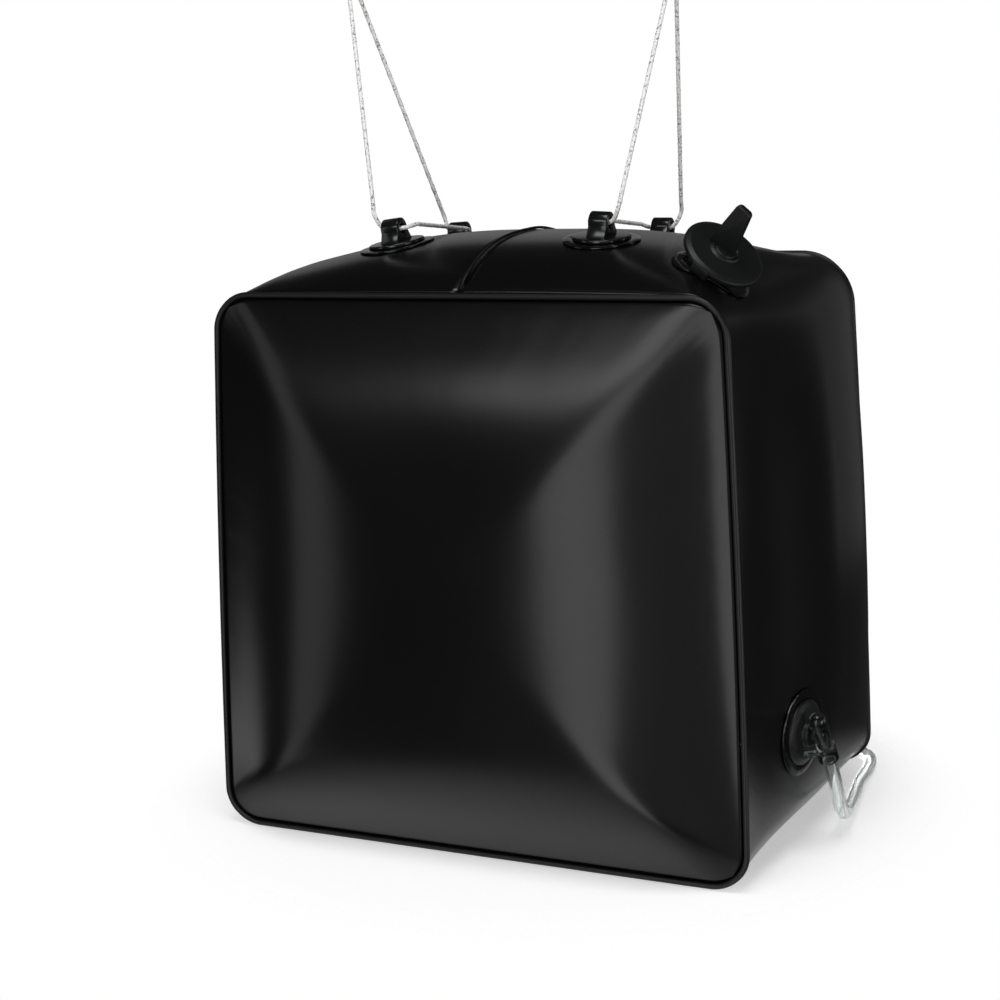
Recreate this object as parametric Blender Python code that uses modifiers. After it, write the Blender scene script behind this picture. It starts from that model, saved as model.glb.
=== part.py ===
"""A camp shower bag: a black cube-shaped water bag with two rope handles, a filler with a
hinged cap, and an outlet with a clear hose that ends in a small shower head.

Metres, +Z up. The full bag stands on its flat bottom with the origin in the middle of it.
Its front panel faces -Y.
"""

import math

import bmesh
import bpy
from mathutils import Matrix, Vector
from mathutils.kdtree import KDTree

CLEARANCE = 0.0003
MERGE_DISTANCE = 0.00003

# Bag: the outline is the line of the welts, seen from the front
BAG_TOP_WIDTH = 0.350
BAG_BOTTOM_WIDTH = 0.374
BAG_HEIGHT = 0.368
BAG_DEPTH = 0.268
FILM_THICKNESS = 0.0006
WELT_RADIUS = 0.002
TOP_WELT_RADIUS = 0.0015
WELT_CORNER_RADIUS = 0.023
BACK_TOP_CORNER_RADIUS = 0.034
BACK_TOP_DRAW_IN = 0.0035
WELT_BOW = 0.002
TOP_LEFT_DROP = 0.006
MIDDLE_TOP_RADIUS = 0.038
MIDDLE_BOTTOM_RADIUS = 0.032
FRONT_CROWN = 0.036
BACK_CROWN = 0.030
TOP_SWELL = 0.031
RIGHT_SWELL = 0.019
LEFT_SWELL = 0.016
SHOULDER_SWELL = 0.007

# Lugs, which hold the rope handles
FRONT_LEFT_LUG = (-0.079, -0.063)
FRONT_RIGHT_LUG = (0.069, -0.063)
BACK_LEFT_LUG = (-0.095, 0.060)
BACK_RIGHT_LUG = (0.062, 0.060)
LUG_PATCH_RADIUS = 0.025
LUG_PATCH_THICKNESS = 0.001
LUG_BASE_RADIUS = 0.0185
LUG_BASE_THICKNESS = 0.0025
LUG_WIDTH = 0.0125
LUG_HEIGHT = 0.0175
LUG_FOOT_LENGTH = 0.023
LUG_TOP_RADIUS = 0.0072
LUG_HOLE_RADIUS = 0.0036

# Rope handles
ROPE_RADIUS = 0.0015
ROPE_BEND = 0.0076
KNOT_RADIUS = 0.005

# Filler
FILLER_NECK_RADIUS = 0.0165
FILLER_BORE_RADIUS = 0.0140
FILLER_NECK_DEPTH = 0.014
FILLER_NECK_RISE = 0.0105
FILLER_LEAN = math.radians(11)
FILLER_TILT = math.radians(15.5)
FILLER_FLANGE_INNER = 0.0190
FILLER_FLANGE_RADIUS = 0.0255
FILLER_FLANGE_THICKNESS = 0.0012
CAP_RADIUS = 0.0265
CAP_THICKNESS = 0.0045
CAP_PLUG_LENGTH = 0.006
CAP_PLUG_TAPER = 0.0012
CAP_PLUG_WALL = 0.0016
CAP_HUB_RADIUS = 0.0100
CAP_HUB_HEIGHT = 0.0015
CAP_EDGE_RADIUS = 0.0015
GRIP_ROOT_WIDTH = 0.0190
GRIP_ROOT_X = -0.0030
GRIP_TIP_WIDTH = 0.0110
GRIP_TIP_SHIFT = -0.0010
GRIP_TIP_RADIUS = 0.0030
GRIP_LENGTH = 0.0330
GRIP_THICKNESS = 0.0045
STRAP_WIDTH = 0.0120
STRAP_THICKNESS = 0.0016

# Outlet
OUTLET_HEIGHT = 0.081
OUTLET_Y = -0.050
OUTLET_PATCH_RADIUS = 0.0285
OUTLET_PATCH_THICKNESS = 0.0014
OUTLET_PLATE_RADIUS = 0.0215
OUTLET_PLATE_THICKNESS = 0.0040
OUTLET_BOSS_RADIUS = 0.0085
OUTLET_BOSS_HEIGHT = 0.0035
OUTLET_STEM_RADIUS = 0.0070
OUTLET_STEM_LENGTH = 0.0140
OUTLET_NUT_RADIUS = 0.0130
OUTLET_NUT_THICKNESS = 0.0050
OUTLET_WASHER_RADIUS = 0.0160
OUTLET_WASHER_THICKNESS = 0.0015
ELBOW_RADIUS = 0.0056
ELBOW_INLET_RADIUS = 0.0045
ELBOW_RISE = 0.0180
ELBOW_DROP = 0.0085
ELBOW_LEAN_BACK = math.radians(25)
ELBOW_LEAN_OUT = math.radians(4)
ELBOW_STEP = 0.0008
ELBOW_STEP_HEIGHT = 0.0010
COLLAR_RADIUS = 0.0068
COLLAR_LENGTH = 0.0110
EAR_LENGTH = 0.0150
EAR_WIDTH = 0.0060
EAR_THICKNESS = 0.0026
EAR_TILT = math.radians(35)
EAR_TURN = math.radians(14)

# Hose and shower head
HOSE_RADIUS = 0.0045
COIL_RADIUS = 0.046
COIL_GAP = 0.0009
COIL_X = 0.085
COIL_Y = 0.204
COIL_TURNS = 3
VALVE_RADIUS = 0.0085
VALVE_LENGTH = 0.024
VALVE_TAPER = 0.006
SPIGOT_RADIUS = 0.0060
SPIGOT_LENGTH = 0.016
ROSE_RADIUS = 0.0210
ROSE_NECK_RADIUS = 0.0100
ROSE_LENGTH = 0.034
ROSE_RIM = 0.006
ROSE_WALL = 0.0018
SPRAY_PLATE_THICKNESS = 0.002
ROSE_PULL = 0.006

# Shares of the sizes that they follow
CORNER_SHARE = 0.25
LEDGE_SHARE = 0.25
TOP_CREST_X_SHARE = 0.08
TOP_CREST_Y_SHARE = -0.15
RIGHT_CREST_SHARE = 0.1
SHARE_STEP = 0.001
ROPE_INSIDE_SHARE = 0.6
ROPE_MOUTH_SHARES = (0.35, 0.4)
ROPE_TURN_SHARES = (0.7, 1.5)
ROPE_RISE_SHARES = (0.8, 1.5)
ROPE_TAUT_SHARES = (0.05, 0.12, 0.25, 0.5, 0.75, 0.88, 0.95)
COIL_CLIMB_START = 0.35
COIL_CLIMB_SHARE = 0.35
FILLER_SIDE_SHARE = -0.82
FILLER_DEPTH_SHARE = -0.595

# How full the film is: a high power holds it out to its edges
FULL_POWER = 3
SLACK_POWER = 2.5
FADE_POWER = 1.5
CROWN_POWER = 3.4
CROWN_SIDE_POWER = 0.4
CROWN_BOTTOM_POWER = 2.6
CROWN_ROUNDING = 1.4

# Counts
PANEL_STEPS = 16
SIDE_STEPS = 24
DEPTH_STEPS = 12
ROUND_STEPS = 24
COIL_POINTS = 24
ROUTE_STEPS = 24
ROPE_POINTS = 80
HOSE_POINTS = 70
TAIL_POINTS = 16

BOTTOM, RIGHT, TOP, LEFT = range(4)
HALF_DEPTH = BAG_DEPTH / 2
HALF_HEIGHT = BAG_HEIGHT / 2
MIDDLE_HEIGHT = HALF_HEIGHT + WELT_RADIUS
FILM_OUTSIDE = FILM_THICKNESS / 2 + CLEARANCE


def full(share):
    """The swell of a film that is filled tight, from 1 in the middle to 0 at its edge."""
    return 1 - share ** FULL_POWER


def slack(share):
    """The swell of a film that is slack near its edge."""
    return (1 - share * share) ** SLACK_POWER


def across(share, crest, before, after):
    """The swell at a share from -1 to 1, with its crest off the middle."""
    if share > crest:
        return after((share - crest) / (1 - crest))
    return before((crest - share) / (1 + crest))


def fade(share):
    """1 in the middle of a side, falling softly to 0 at its two corners."""
    return (1 - abs(share) ** FULL_POWER) ** FADE_POWER


def ledge(share):
    """1 in the middle, falling straight to 0 over the last stretch of both ends."""
    return min(1, (1 - abs(share)) / LEDGE_SHARE)


def swell(side, along, depth):
    """How far the gusset stands out from the straight line between its two welts."""
    if side == BOTTOM:
        return (WELT_RADIUS - FILM_THICKNESS / 2) * ledge(along) * ledge(depth)
    shoulder = SHOULDER_SWELL * full(abs(depth))
    if side == TOP:
        middle = TOP_SWELL * across(depth, TOP_CREST_Y_SHARE, full, slack)
        share = (-along - TOP_CREST_X_SHARE * (1 - along * along))
        return shoulder + (middle - shoulder) * fade(share)
    low_end = along < 0 if side == RIGHT else along > 0
    if low_end:
        shoulder = 0
    if side == RIGHT:
        middle = RIGHT_SWELL * across(depth, RIGHT_CREST_SHARE, slack, full)
    else:
        middle = LEFT_SWELL * full(abs(depth))
    return shoulder + (middle - shoulder) * fade(along)


def corner_radius(side, along, depth):
    """The radius of the corner at this end of a side; it grows away from the welts."""
    top_end = side == TOP or (side == RIGHT and along > 0) or (side == LEFT and along < 0)
    welt, middle = WELT_CORNER_RADIUS, MIDDLE_BOTTOM_RADIUS
    if top_end:
        welt += (BACK_TOP_CORNER_RADIUS - WELT_CORNER_RADIUS) * (1 + depth) / 2
        middle = MIDDLE_TOP_RADIUS
    return welt + (middle - welt) * full(abs(depth))


def outline(side, along, depth, out):
    """A point (x, z) of the bag's outline, moved outwards by out.

    along runs from -1 to 1 anticlockwise over one side, from the middle of one corner to
    the middle of the next.
    """
    radius = corner_radius(side, along, depth)
    to_side, half_side = (HALF_HEIGHT, BAG_TOP_WIDTH / 2)
    if side in (RIGHT, LEFT):
        to_side, half_side = half_side, to_side
        out = out + WELT_BOW * (1 - along * along)
    straight = 1 - CORNER_SHARE
    turn = math.pi / 4 * max(0, abs(along) - straight) / CORNER_SHARE
    run = (half_side - radius) * min(1, abs(along) / straight) + (radius + out) * math.sin(turn)
    run = math.copysign(run, along)
    rise = to_side - radius + (radius + out) * math.cos(turn)
    x, z = ((run, -rise), (rise, run), (-run, rise), (-rise, -run))[side]
    height_share = max(0, (z + HALF_HEIGHT) / BAG_HEIGHT)
    lean = (BAG_BOTTOM_WIDTH / BAG_TOP_WIDTH - 1) * (1 - height_share)
    drop = TOP_LEFT_DROP * height_share * (1 - 2 * x / BAG_TOP_WIDTH) / 2
    lean -= 2 * BACK_TOP_DRAW_IN / BAG_TOP_WIDTH * height_share * (1 + depth) / 2
    return x * (1 + lean), z - drop + MIDDLE_HEIGHT


def gusset_point(side, along, depth):
    """The middle of the gusset's film at shares of a side and of half the bag's depth."""
    if abs(along) > 1:
        step = int(math.copysign(1, along))
        side, along = (side + step) % 4, along - 2 * step
    x, z = outline(side, along, depth, swell(side, along, depth))
    return Vector((x, depth * HALF_DEPTH, z))


def gusset_axes(side, along, depth):
    """A point of the gusset with its axes, and its slopes along both shares.

    Z points outwards. On the top X points right and Y back; on the right side X points back
    and Y up.
    """
    point = gusset_point(side, along, depth)
    run = (gusset_point(side, along + SHARE_STEP, depth) - point) / SHARE_STEP
    back = (gusset_point(side, along, depth + SHARE_STEP) - point) / SHARE_STEP
    outward = back.cross(run).normalized()
    first = (-run if side == TOP else back).normalized()
    frame = Matrix.Identity(4)
    frame.col[0].xyz = first
    frame.col[1].xyz = outward.cross(first)
    frame.col[2].xyz = outward
    frame.col[3].xyz = point
    return frame, run, back


def gusset_beside(side, along, depth, x, y):
    """The gusset's point that lies x and y from another along the other's axes, as shares."""
    frame, run, back = gusset_axes(side, along, depth)
    inverse = frame.inverted()
    slopes = Matrix((
        (frame.col[0].xyz.dot(run), frame.col[0].xyz.dot(back)),
        (frame.col[1].xyz.dot(run), frame.col[1].xyz.dot(back)),
    )).inverted()
    shares = Vector((along, depth))
    for _ in range(6):
        found = inverse @ gusset_point(side, *shares)
        shares += slopes @ Vector((x - found.x, y - found.y))
    return tuple(shares)


def film_heights(side, along, depth, radius):
    """The lowest and highest the film gets under a flat round foot, from the foot's middle."""
    inverse = gusset_axes(side, along, depth)[0].inverted()
    heights = [0]
    for i in range(ROUND_STEPS):
        angle = 2 * math.pi * i / ROUND_STEPS
        x, y = radius * math.cos(angle), radius * math.sin(angle)
        under = gusset_point(side, *gusset_beside(side, along, depth, x, y))
        heights.append((inverse @ under).z)
    return min(heights), max(heights)


def seat_frame(side, along, depth, radius):
    """Where a flat round foot rests on the outside of the gusset: its middle and axes."""
    frame = gusset_axes(side, along, depth)[0]
    highest = film_heights(side, along, depth, radius)[1]
    return frame @ Matrix.Translation((0, 0, highest + FILM_OUTSIDE))


def top_share(x, depth):
    """The share along the top at which the gusset has this x."""
    flat_half = BAG_TOP_WIDTH / 2 - corner_radius(TOP, -x, depth)
    return -x / flat_half * (1 - CORNER_SHARE)


def right_share(z, depth):
    """The share along the right side at which the gusset has this height."""
    low_half = HALF_HEIGHT - corner_radius(RIGHT, z - MIDDLE_HEIGHT, depth)
    return (z - MIDDLE_HEIGHT) / low_half * (1 - CORNER_SHARE)


def make_collection(name):
    collection = bpy.data.collections.new(name)
    bpy.context.scene.collection.children.link(collection)
    return collection


def make_material(name, colour, roughness, metallic=0.0, alpha=1.0):
    material = bpy.data.materials.new(name)
    material.use_nodes = True
    shader = material.node_tree.nodes["Principled BSDF"]
    shader.inputs["Base Color"].default_value = (*colour, 1)
    shader.inputs["Roughness"].default_value = roughness
    shader.inputs["Metallic"].default_value = metallic
    shader.inputs["Alpha"].default_value = alpha
    return material


def add_object(name, data, material, frame=None):
    """Put a mesh or a curve into the bag's collection."""
    obj = bpy.data.objects.new(name, data)
    obj.matrix_world = frame if frame else Matrix.Identity(4)
    bpy.data.collections["camp_shower_bag"].objects.link(obj)
    data.materials.clear()
    data.materials.append(material)
    return obj


def add_cutter(name, data, frame):
    cutter = bpy.data.objects.new(name, data)
    cutter.matrix_world = frame
    cutter.hide_render = True
    cutter.display_type = "WIRE"
    bpy.data.collections["cutters"].objects.link(cutter)
    return cutter


def cylinder_mesh(name, radius, low, high, steps=ROUND_STEPS):
    """A cylinder along Z between two heights."""
    bm = bmesh.new()
    bmesh.ops.create_cone(
        bm, cap_ends=True, segments=steps, radius1=radius, radius2=radius, depth=high - low
    )
    bmesh.ops.translate(bm, verts=bm.verts, vec=(0, 0, (low + high) / 2))
    mesh = bpy.data.meshes.new(name)
    bm.to_mesh(mesh)
    bm.free()
    return mesh


def add_boolean(obj, cutter, operation):
    boolean = obj.modifiers.new(operation.title(), "BOOLEAN")
    boolean.operation = operation
    boolean.object = cutter
    return boolean


def add_solidify(obj, thickness, offset=0):
    solidify = obj.modifiers.new("Solidify", "SOLIDIFY")
    solidify.thickness = thickness
    solidify.offset = offset
    return solidify


def shade(obj):
    obj.data.shade_smooth()
    obj.data.set_sharp_from_angle(angle=math.radians(35))


def grid_mesh(name, columns, rows, place, flip=False):
    """A grid whose points, at shares from -1 to 1 both ways, are put where place says."""
    bm = bmesh.new()
    bmesh.ops.create_grid(bm, x_segments=columns, y_segments=rows, size=1)
    for vert in bm.verts:
        vert.co = place(vert.co.x, vert.co.y)
    bmesh.ops.remove_doubles(bm, verts=bm.verts, dist=MERGE_DISTANCE)
    if flip:
        bmesh.ops.reverse_faces(bm, faces=bm.faces)
    mesh = bpy.data.meshes.new(name)
    bm.to_mesh(mesh)
    bm.free()
    return mesh


def turned_mesh(name, profile, closed=False, steps=ROUND_STEPS):
    """A profile of (radius, height) points, top to bottom on the outer side, turned about Z.

    A closed profile makes a ring; an open one starts and ends on the axis.
    """
    bm = bmesh.new()
    verts = [bm.verts.new((radius, 0, height)) for radius, height in profile]
    for first, second in zip(verts, verts[1:] + verts[:1] if closed else verts[1:]):
        bm.edges.new((first, second))
    mesh = bpy.data.meshes.new(name)
    bm.to_mesh(mesh)
    bm.free()
    obj = bpy.data.objects.new(name, mesh)
    bpy.context.scene.collection.objects.link(obj)
    screw = obj.modifiers.new("Screw", "SCREW")
    screw.steps = steps
    screw.render_steps = steps
    screw.use_merge_vertices = True
    screw.merge_threshold = MERGE_DISTANCE
    return evaluated_mesh(obj)


def evaluated_mesh(obj):
    """The object's mesh with its modifiers or curve settings applied; the object is removed."""
    bpy.context.view_layer.update()
    mesh = bpy.data.meshes.new_from_object(obj.evaluated_get(bpy.context.evaluated_depsgraph_get()))
    bm = bmesh.new()
    bm.from_mesh(mesh)
    bmesh.ops.remove_doubles(bm, verts=bm.verts, dist=MERGE_DISTANCE)
    bm.to_mesh(mesh)
    bm.free()
    bpy.data.objects.remove(obj)
    return mesh


def smooth_route(points, count):
    """count points, evenly spaced, on a smooth curve through the given ones."""
    ends = [points[0] * 2 - points[1], *points, points[-1] * 2 - points[-2]]
    fine = []
    for a, b, c, d in zip(ends, ends[1:], ends[2:], ends[3:]):
        for i in range(ROUTE_STEPS):
            t = i / ROUTE_STEPS
            fine.append(
                (b * 2 + (c - a) * t + (a * 2 - b * 5 + c * 4 - d) * t ** 2
                 + (b * 3 - a - c * 3 + d) * t ** 3) / 2
            )
    fine.append(points[-1])
    lengths = [0]
    for a, b in zip(fine, fine[1:]):
        lengths.append(lengths[-1] + (b - a).length)
    even, at = [], 0
    for i in range(count):
        want = lengths[-1] * i / (count - 1)
        while at < len(fine) - 2 and lengths[at + 1] < want:
            at += 1
        share = (want - lengths[at]) / (lengths[at + 1] - lengths[at])
        even.append(fine[at].lerp(fine[at + 1], min(1, share)))
    return even


def tube_curve(name, points, radius, resolution, closed=False):
    curve = bpy.data.curves.new(name, "CURVE")
    curve.dimensions = "3D"
    curve.bevel_depth = radius
    curve.bevel_resolution = resolution
    curve.use_fill_caps = not closed
    spline = curve.splines.new("POLY")
    spline.points.add(len(points) - 1)
    for place, point in zip(spline.points, points):
        place.co = (*point, 1)
    spline.use_cyclic_u = closed
    return curve


def round_mesh(name, radius):
    bm = bmesh.new()
    bmesh.ops.create_uvsphere(bm, u_segments=12, v_segments=8, radius=radius)
    mesh = bpy.data.meshes.new(name)
    bm.to_mesh(mesh)
    bm.free()
    return mesh


def flat_mesh(name, outlines, thickness):
    """A flat plate in its own XY plane; an outline inside another one is a hole."""
    curve = bpy.data.curves.new(name, "CURVE")
    curve.dimensions = "2D"
    curve.fill_mode = "BOTH"
    curve.extrude = thickness / 2
    for points in outlines:
        spline = curve.splines.new("POLY")
        spline.points.add(len(points) - 1)
        for place, (x, y) in zip(spline.points, points):
            place.co = (x, y, 0, 1)
        spline.use_cyclic_u = True
    obj = bpy.data.objects.new(name, curve)
    bpy.context.scene.collection.objects.link(obj)
    return evaluated_mesh(obj)


def arc(centre_x, centre_y, radius, start, end, steps):
    """Points on an arc, with its angles in degrees."""
    angles = [math.radians(start + (end - start) * i / steps) for i in range(steps + 1)]
    return [(centre_x + radius * math.cos(a), centre_y + radius * math.sin(a)) for a in angles]


def add_panel(name, facing, crown, material):
    """The front (facing -1) or back (facing 1) panel, crowned between its welts."""
    inset = WELT_RADIUS + CLEARANCE

    def place(a, b):
        ring = max(abs(a), abs(b))
        if ring == 0:
            return Vector((0, facing * (HALF_DEPTH + crown), MIDDLE_HEIGHT))
        if abs(a) >= abs(b):
            side, along = (RIGHT, b / ring) if a > 0 else (LEFT, -b / ring)
        else:
            side, along = (TOP, -a / ring) if b > 0 else (BOTTOM, a / ring)
        x, z = outline(side, along, facing, -inset)
        power = CROWN_POWER - CROWN_SIDE_POWER * a / ring
        power += CROWN_BOTTOM_POWER * max(0, -b / ring) ** 2
        height = crown * (1 - ring ** power) ** CROWN_ROUNDING
        z = MIDDLE_HEIGHT + (z - MIDDLE_HEIGHT) * ring
        return Vector((x * ring, facing * (HALF_DEPTH + height), z))

    panel = add_object(
        name, grid_mesh(name, PANEL_STEPS, PANEL_STEPS, place, flip=facing > 0), material
    )
    add_solidify(panel, FILM_THICKNESS)
    shade(panel)


def add_gusset(material):
    """One long strip round the bag, whose two ends meet at the middle of the top."""
    edge_share = 1 - (WELT_RADIUS + CLEARANCE) / HALF_DEPTH

    def place(a, b):
        turn = (a + 1) * 2
        side = (TOP, LEFT, BOTTOM, RIGHT, TOP)[min(4, int(turn + 0.5))]
        along = (turn + 0.5) % 1 * 2 - 1
        point = gusset_point(side, along, b * edge_share)
        if abs(a) == 1:
            point.x = a * CLEARANCE / 2
        return point

    mesh = grid_mesh("gusset", SIDE_STEPS * 4, DEPTH_STEPS, place)
    gusset = add_object("gusset", mesh, material)
    add_solidify(gusset, FILM_THICKNESS)
    shade(gusset)
    return gusset


def outline_loop(facing):
    """The whole outline of the front or back, as (x, z) points."""
    points = []
    for side in (BOTTOM, RIGHT, TOP, LEFT):
        for i in range(SIDE_STEPS):
            points.append(outline(side, i / SIDE_STEPS * 2 - 1, facing, 0))
    return points


def add_welt(name, facing, material):
    points = [(x, facing * HALF_DEPTH, z) for x, z in outline_loop(facing)]
    add_object(name, tube_curve(name, points, WELT_RADIUS, 2, closed=True), material)


def add_top_welt(material):
    """The raised seam over the two ends of the gusset."""
    reach = 1 - (2 * WELT_RADIUS + CLEARANCE) / HALF_DEPTH
    points = []
    for i in range(DEPTH_STEPS + 1):
        depth = (i / DEPTH_STEPS * 2 - 1) * reach
        frame = gusset_axes(TOP, 0, depth)[0]
        points.append(frame @ Vector((0, 0, FILM_OUTSIDE + TOP_WELT_RADIUS)))
    add_object("top_seam_welt", tube_curve("top_seam_welt", points, TOP_WELT_RADIUS, 2), material)


def add_patch(name, side, along, depth, inner, outer, thickness, material):
    """A ring of film that lies on the gusset round a fitting."""

    def place(a, b):
        radius = inner + (outer - inner) * (a + 1) / 2
        x, y = radius * math.cos(math.pi * b), radius * math.sin(math.pi * b)
        frame = gusset_axes(side, *gusset_beside(side, along, depth, x, y))[0]
        return frame @ Vector((0, 0, FILM_OUTSIDE + thickness / 2))

    patch = add_object(name, grid_mesh(name, 2, ROUND_STEPS, place), material)
    add_solidify(patch, thickness)
    shade(patch)
    return patch


def lug_mesh():
    """A lug standing on Z = 0, with its hole along X."""
    hole_height = LUG_HEIGHT - LUG_TOP_RADIUS
    half_foot = LUG_FOOT_LENGTH / 2
    eye = arc(0, hole_height, LUG_TOP_RADIUS, -10, 190, 12)
    eye += [(-half_foot, LUG_BASE_THICKNESS / 2), (half_foot, LUG_BASE_THICKNESS / 2)]
    hole = arc(0, hole_height, LUG_HOLE_RADIUS, 0, 345, 23)
    eye_mesh = flat_mesh("lug_eye", [eye, hole], LUG_WIDTH)
    upright = Matrix.Rotation(math.pi / 2, 4, "Z") @ Matrix.Rotation(math.pi / 2, 4, "X")
    eye_cutter = add_cutter("lug_eye", eye_mesh, upright)
    base = bpy.data.objects.new("lug", cylinder_mesh("lug", LUG_BASE_RADIUS, 0, LUG_BASE_THICKNESS))
    bpy.context.scene.collection.objects.link(base)
    add_boolean(base, eye_cutter, "UNION")
    return evaluated_mesh(base)


def lug_frames():
    """Each lug's name, with its place on the gusset and its axes."""
    places = {
        "front_left": FRONT_LEFT_LUG,
        "front_right": FRONT_RIGHT_LUG,
        "back_left": BACK_LEFT_LUG,
        "back_right": BACK_RIGHT_LUG,
    }
    frames = {}
    for name, (x, y) in places.items():
        depth = y / HALF_DEPTH
        along = top_share(x, depth)
        frames[name] = (along, depth, seat_frame(TOP, along, depth, LUG_BASE_RADIUS))
    return frames


def add_lugs(lug_material, patch_material):
    mesh = lug_mesh()
    for name, (along, depth, seat) in lug_frames().items():
        lug = add_object(f"{name}_lug", mesh, lug_material, seat)
        shade(lug)
        add_patch(
            f"{name}_lug_patch", TOP, along, depth,
            LUG_BASE_RADIUS + CLEARANCE, LUG_PATCH_RADIUS, LUG_PATCH_THICKNESS, patch_material,
        )


def rope_route(hand, outward, knot):
    """The rope of one handle: from its knot through both lugs and back up."""
    frames = lug_frames()
    lift = LUG_HEIGHT - LUG_TOP_RADIUS
    mouth = LUG_WIDTH / 2
    front = frames[f"front_{hand}"][2]
    back = frames[f"back_{hand}"][2]
    knot_end = KNOT_RADIUS + CLEARANCE
    out, rise = ROPE_RISE_SHARES
    way = Vector((outward * (mouth + ROPE_BEND * out), 0, lift + ROPE_BEND * rise))
    front_end = knot + (front @ way - knot).normalized() * knot_end
    back_end = knot + (back @ way - knot).normalized() * knot_end

    def through(lug, turn):
        """The route through a lug, from outside; turn is the way it leaves on the inside."""
        near, near_turn = (ROPE_BEND * share for share in ROPE_MOUTH_SHARES)
        far, far_turn = (ROPE_BEND * share for share in ROPE_TURN_SHARES)
        inside = outward * mouth * ROPE_INSIDE_SHARE
        return [
            lug @ Vector((outward * (mouth + near), 0, lift + near_turn)),
            lug @ Vector((inside, 0, lift)),
            lug @ Vector((-inside, 0, lift)),
            lug @ Vector((-outward * (mouth + near), turn * near_turn, lift)),
            lug @ Vector((-outward * (mouth + far), turn * far_turn, lift)),
        ]

    def taut(start, end):
        """Points between the ends of a straight length, closer together near both."""
        return [start.lerp(end, share) for share in ROPE_TAUT_SHARES]

    there = through(front, 1)
    back_again = through(back, -1)[::-1]
    return [
        front_end,
        *taut(front_end, front @ way),
        front @ way,
        *there,
        *taut(there[-1], back_again[0]),
        *back_again,
        back @ way,
        *taut(back @ way, back_end),
        back_end,
    ]


HOSE_ROUTE = [
    Vector(place) for place in (
        (0.2138, -0.0310, 0.0370),
        (0.2120, -0.0170, 0.0205),
        (0.2085, 0.0040, 0.0095),
        (0.2030, 0.0400, 0.0055),
        (0.1965, 0.0800, 0.0050),
        (0.1935, 0.1130, 0.0050),
        (0.1875, 0.1355, 0.0050),
        (0.1710, 0.1520, 0.0050),
        (0.1485, 0.1580, 0.0049),
        (0.1200, 0.1580, 0.0046),
    )
]
TAIL_ROUTE = [
    Vector(place) for place in (
        (0.0520, 0.1596, 0.0327),
        (0.0370, 0.1650, 0.0276),
        (0.0220, 0.1704, 0.0225),
    )
]
HEAD_PLACE = Vector((-0.026, 0.172, ROSE_RADIUS))
LEFT_KNOT = Vector((-0.1435, 0, 0.578))
RIGHT_KNOT = Vector((0.0965, 0, 0.572))


def add_handles(material):
    for hand, outward, knot in (("left", -1, LEFT_KNOT), ("right", 1, RIGHT_KNOT)):
        points = smooth_route(rope_route(hand, outward, knot), ROPE_POINTS)
        name = f"{hand}_rope"
        add_object(name, tube_curve(name, points, ROPE_RADIUS, 2), material)
        mesh = round_mesh(f"{name}_knot", KNOT_RADIUS)
        shade(add_object(f"{name}_knot", mesh, material, Matrix.Translation(knot)))


def upright(frame):
    """Turn a plate from its own XY plane into the frame's YZ plane."""
    return frame @ Matrix.Rotation(math.pi / 2, 4, "Z") @ Matrix.Rotation(math.pi / 2, 4, "X")


def cut_hole(gusset, name, frame, radius):
    """Open the gusset's film for a fitting."""
    reach = 2 * radius
    cutter = add_cutter(name, cylinder_mesh(name, radius, -reach, reach), frame)
    add_boolean(gusset, cutter, "DIFFERENCE")


def filler_frame():
    """The filler stands on the film, leaning to the right and tilted towards the front."""
    frame = gusset_axes(TOP, FILLER_SIDE_SHARE, FILLER_DEPTH_SHARE)[0]
    return frame @ Matrix.Rotation(FILLER_LEAN, 4, "Y") @ Matrix.Rotation(FILLER_TILT, 4, "X")


def add_filler(gusset, film, moulding):
    frame = filler_frame()
    cut_hole(gusset, "filler_hole", frame, FILLER_NECK_RADIUS + CLEARANCE)
    add_patch(
        "filler_flange", TOP, FILLER_SIDE_SHARE, FILLER_DEPTH_SHARE,
        FILLER_FLANGE_INNER, FILLER_FLANGE_RADIUS, FILLER_FLANGE_THICKNESS, film,
    )
    neck = [
        (FILLER_NECK_RADIUS, FILLER_NECK_RISE),
        (FILLER_NECK_RADIUS, -FILLER_NECK_DEPTH),
        (FILLER_BORE_RADIUS, -FILLER_NECK_DEPTH),
        (FILLER_BORE_RADIUS, FILLER_NECK_RISE),
    ]
    shade(add_object("filler_neck", turned_mesh("neck", neck, closed=True), moulding, frame))
    hinge_y = -(CAP_RADIUS + CLEARANCE + STRAP_THICKNESS / 2)
    hinge_z = FILLER_NECK_RISE + CLEARANCE + CAP_THICKNESS
    hinge = frame @ Matrix.Translation((0, hinge_y, hinge_z))
    cap = add_object("filler_cap", cap_mesh(-hinge_y), moulding, hinge)
    shade(cap)
    strap_in = -(FILLER_NECK_RADIUS + CLEARANCE)
    strap_out = hinge_y - STRAP_THICKNESS / 2
    strap = [
        (strap_in, FILLER_NECK_RISE - STRAP_THICKNESS),
        (strap_in, FILLER_NECK_RISE),
        (strap_out + STRAP_THICKNESS, FILLER_NECK_RISE),
        (strap_out + STRAP_THICKNESS, hinge_z),
        (strap_out, hinge_z),
        (strap_out, FILLER_NECK_RISE - STRAP_THICKNESS),
    ]
    strap_mesh = flat_mesh("filler_cap_strap", [strap], STRAP_WIDTH)
    add_object("filler_cap_strap", strap_mesh, moulding, upright(frame))


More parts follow.
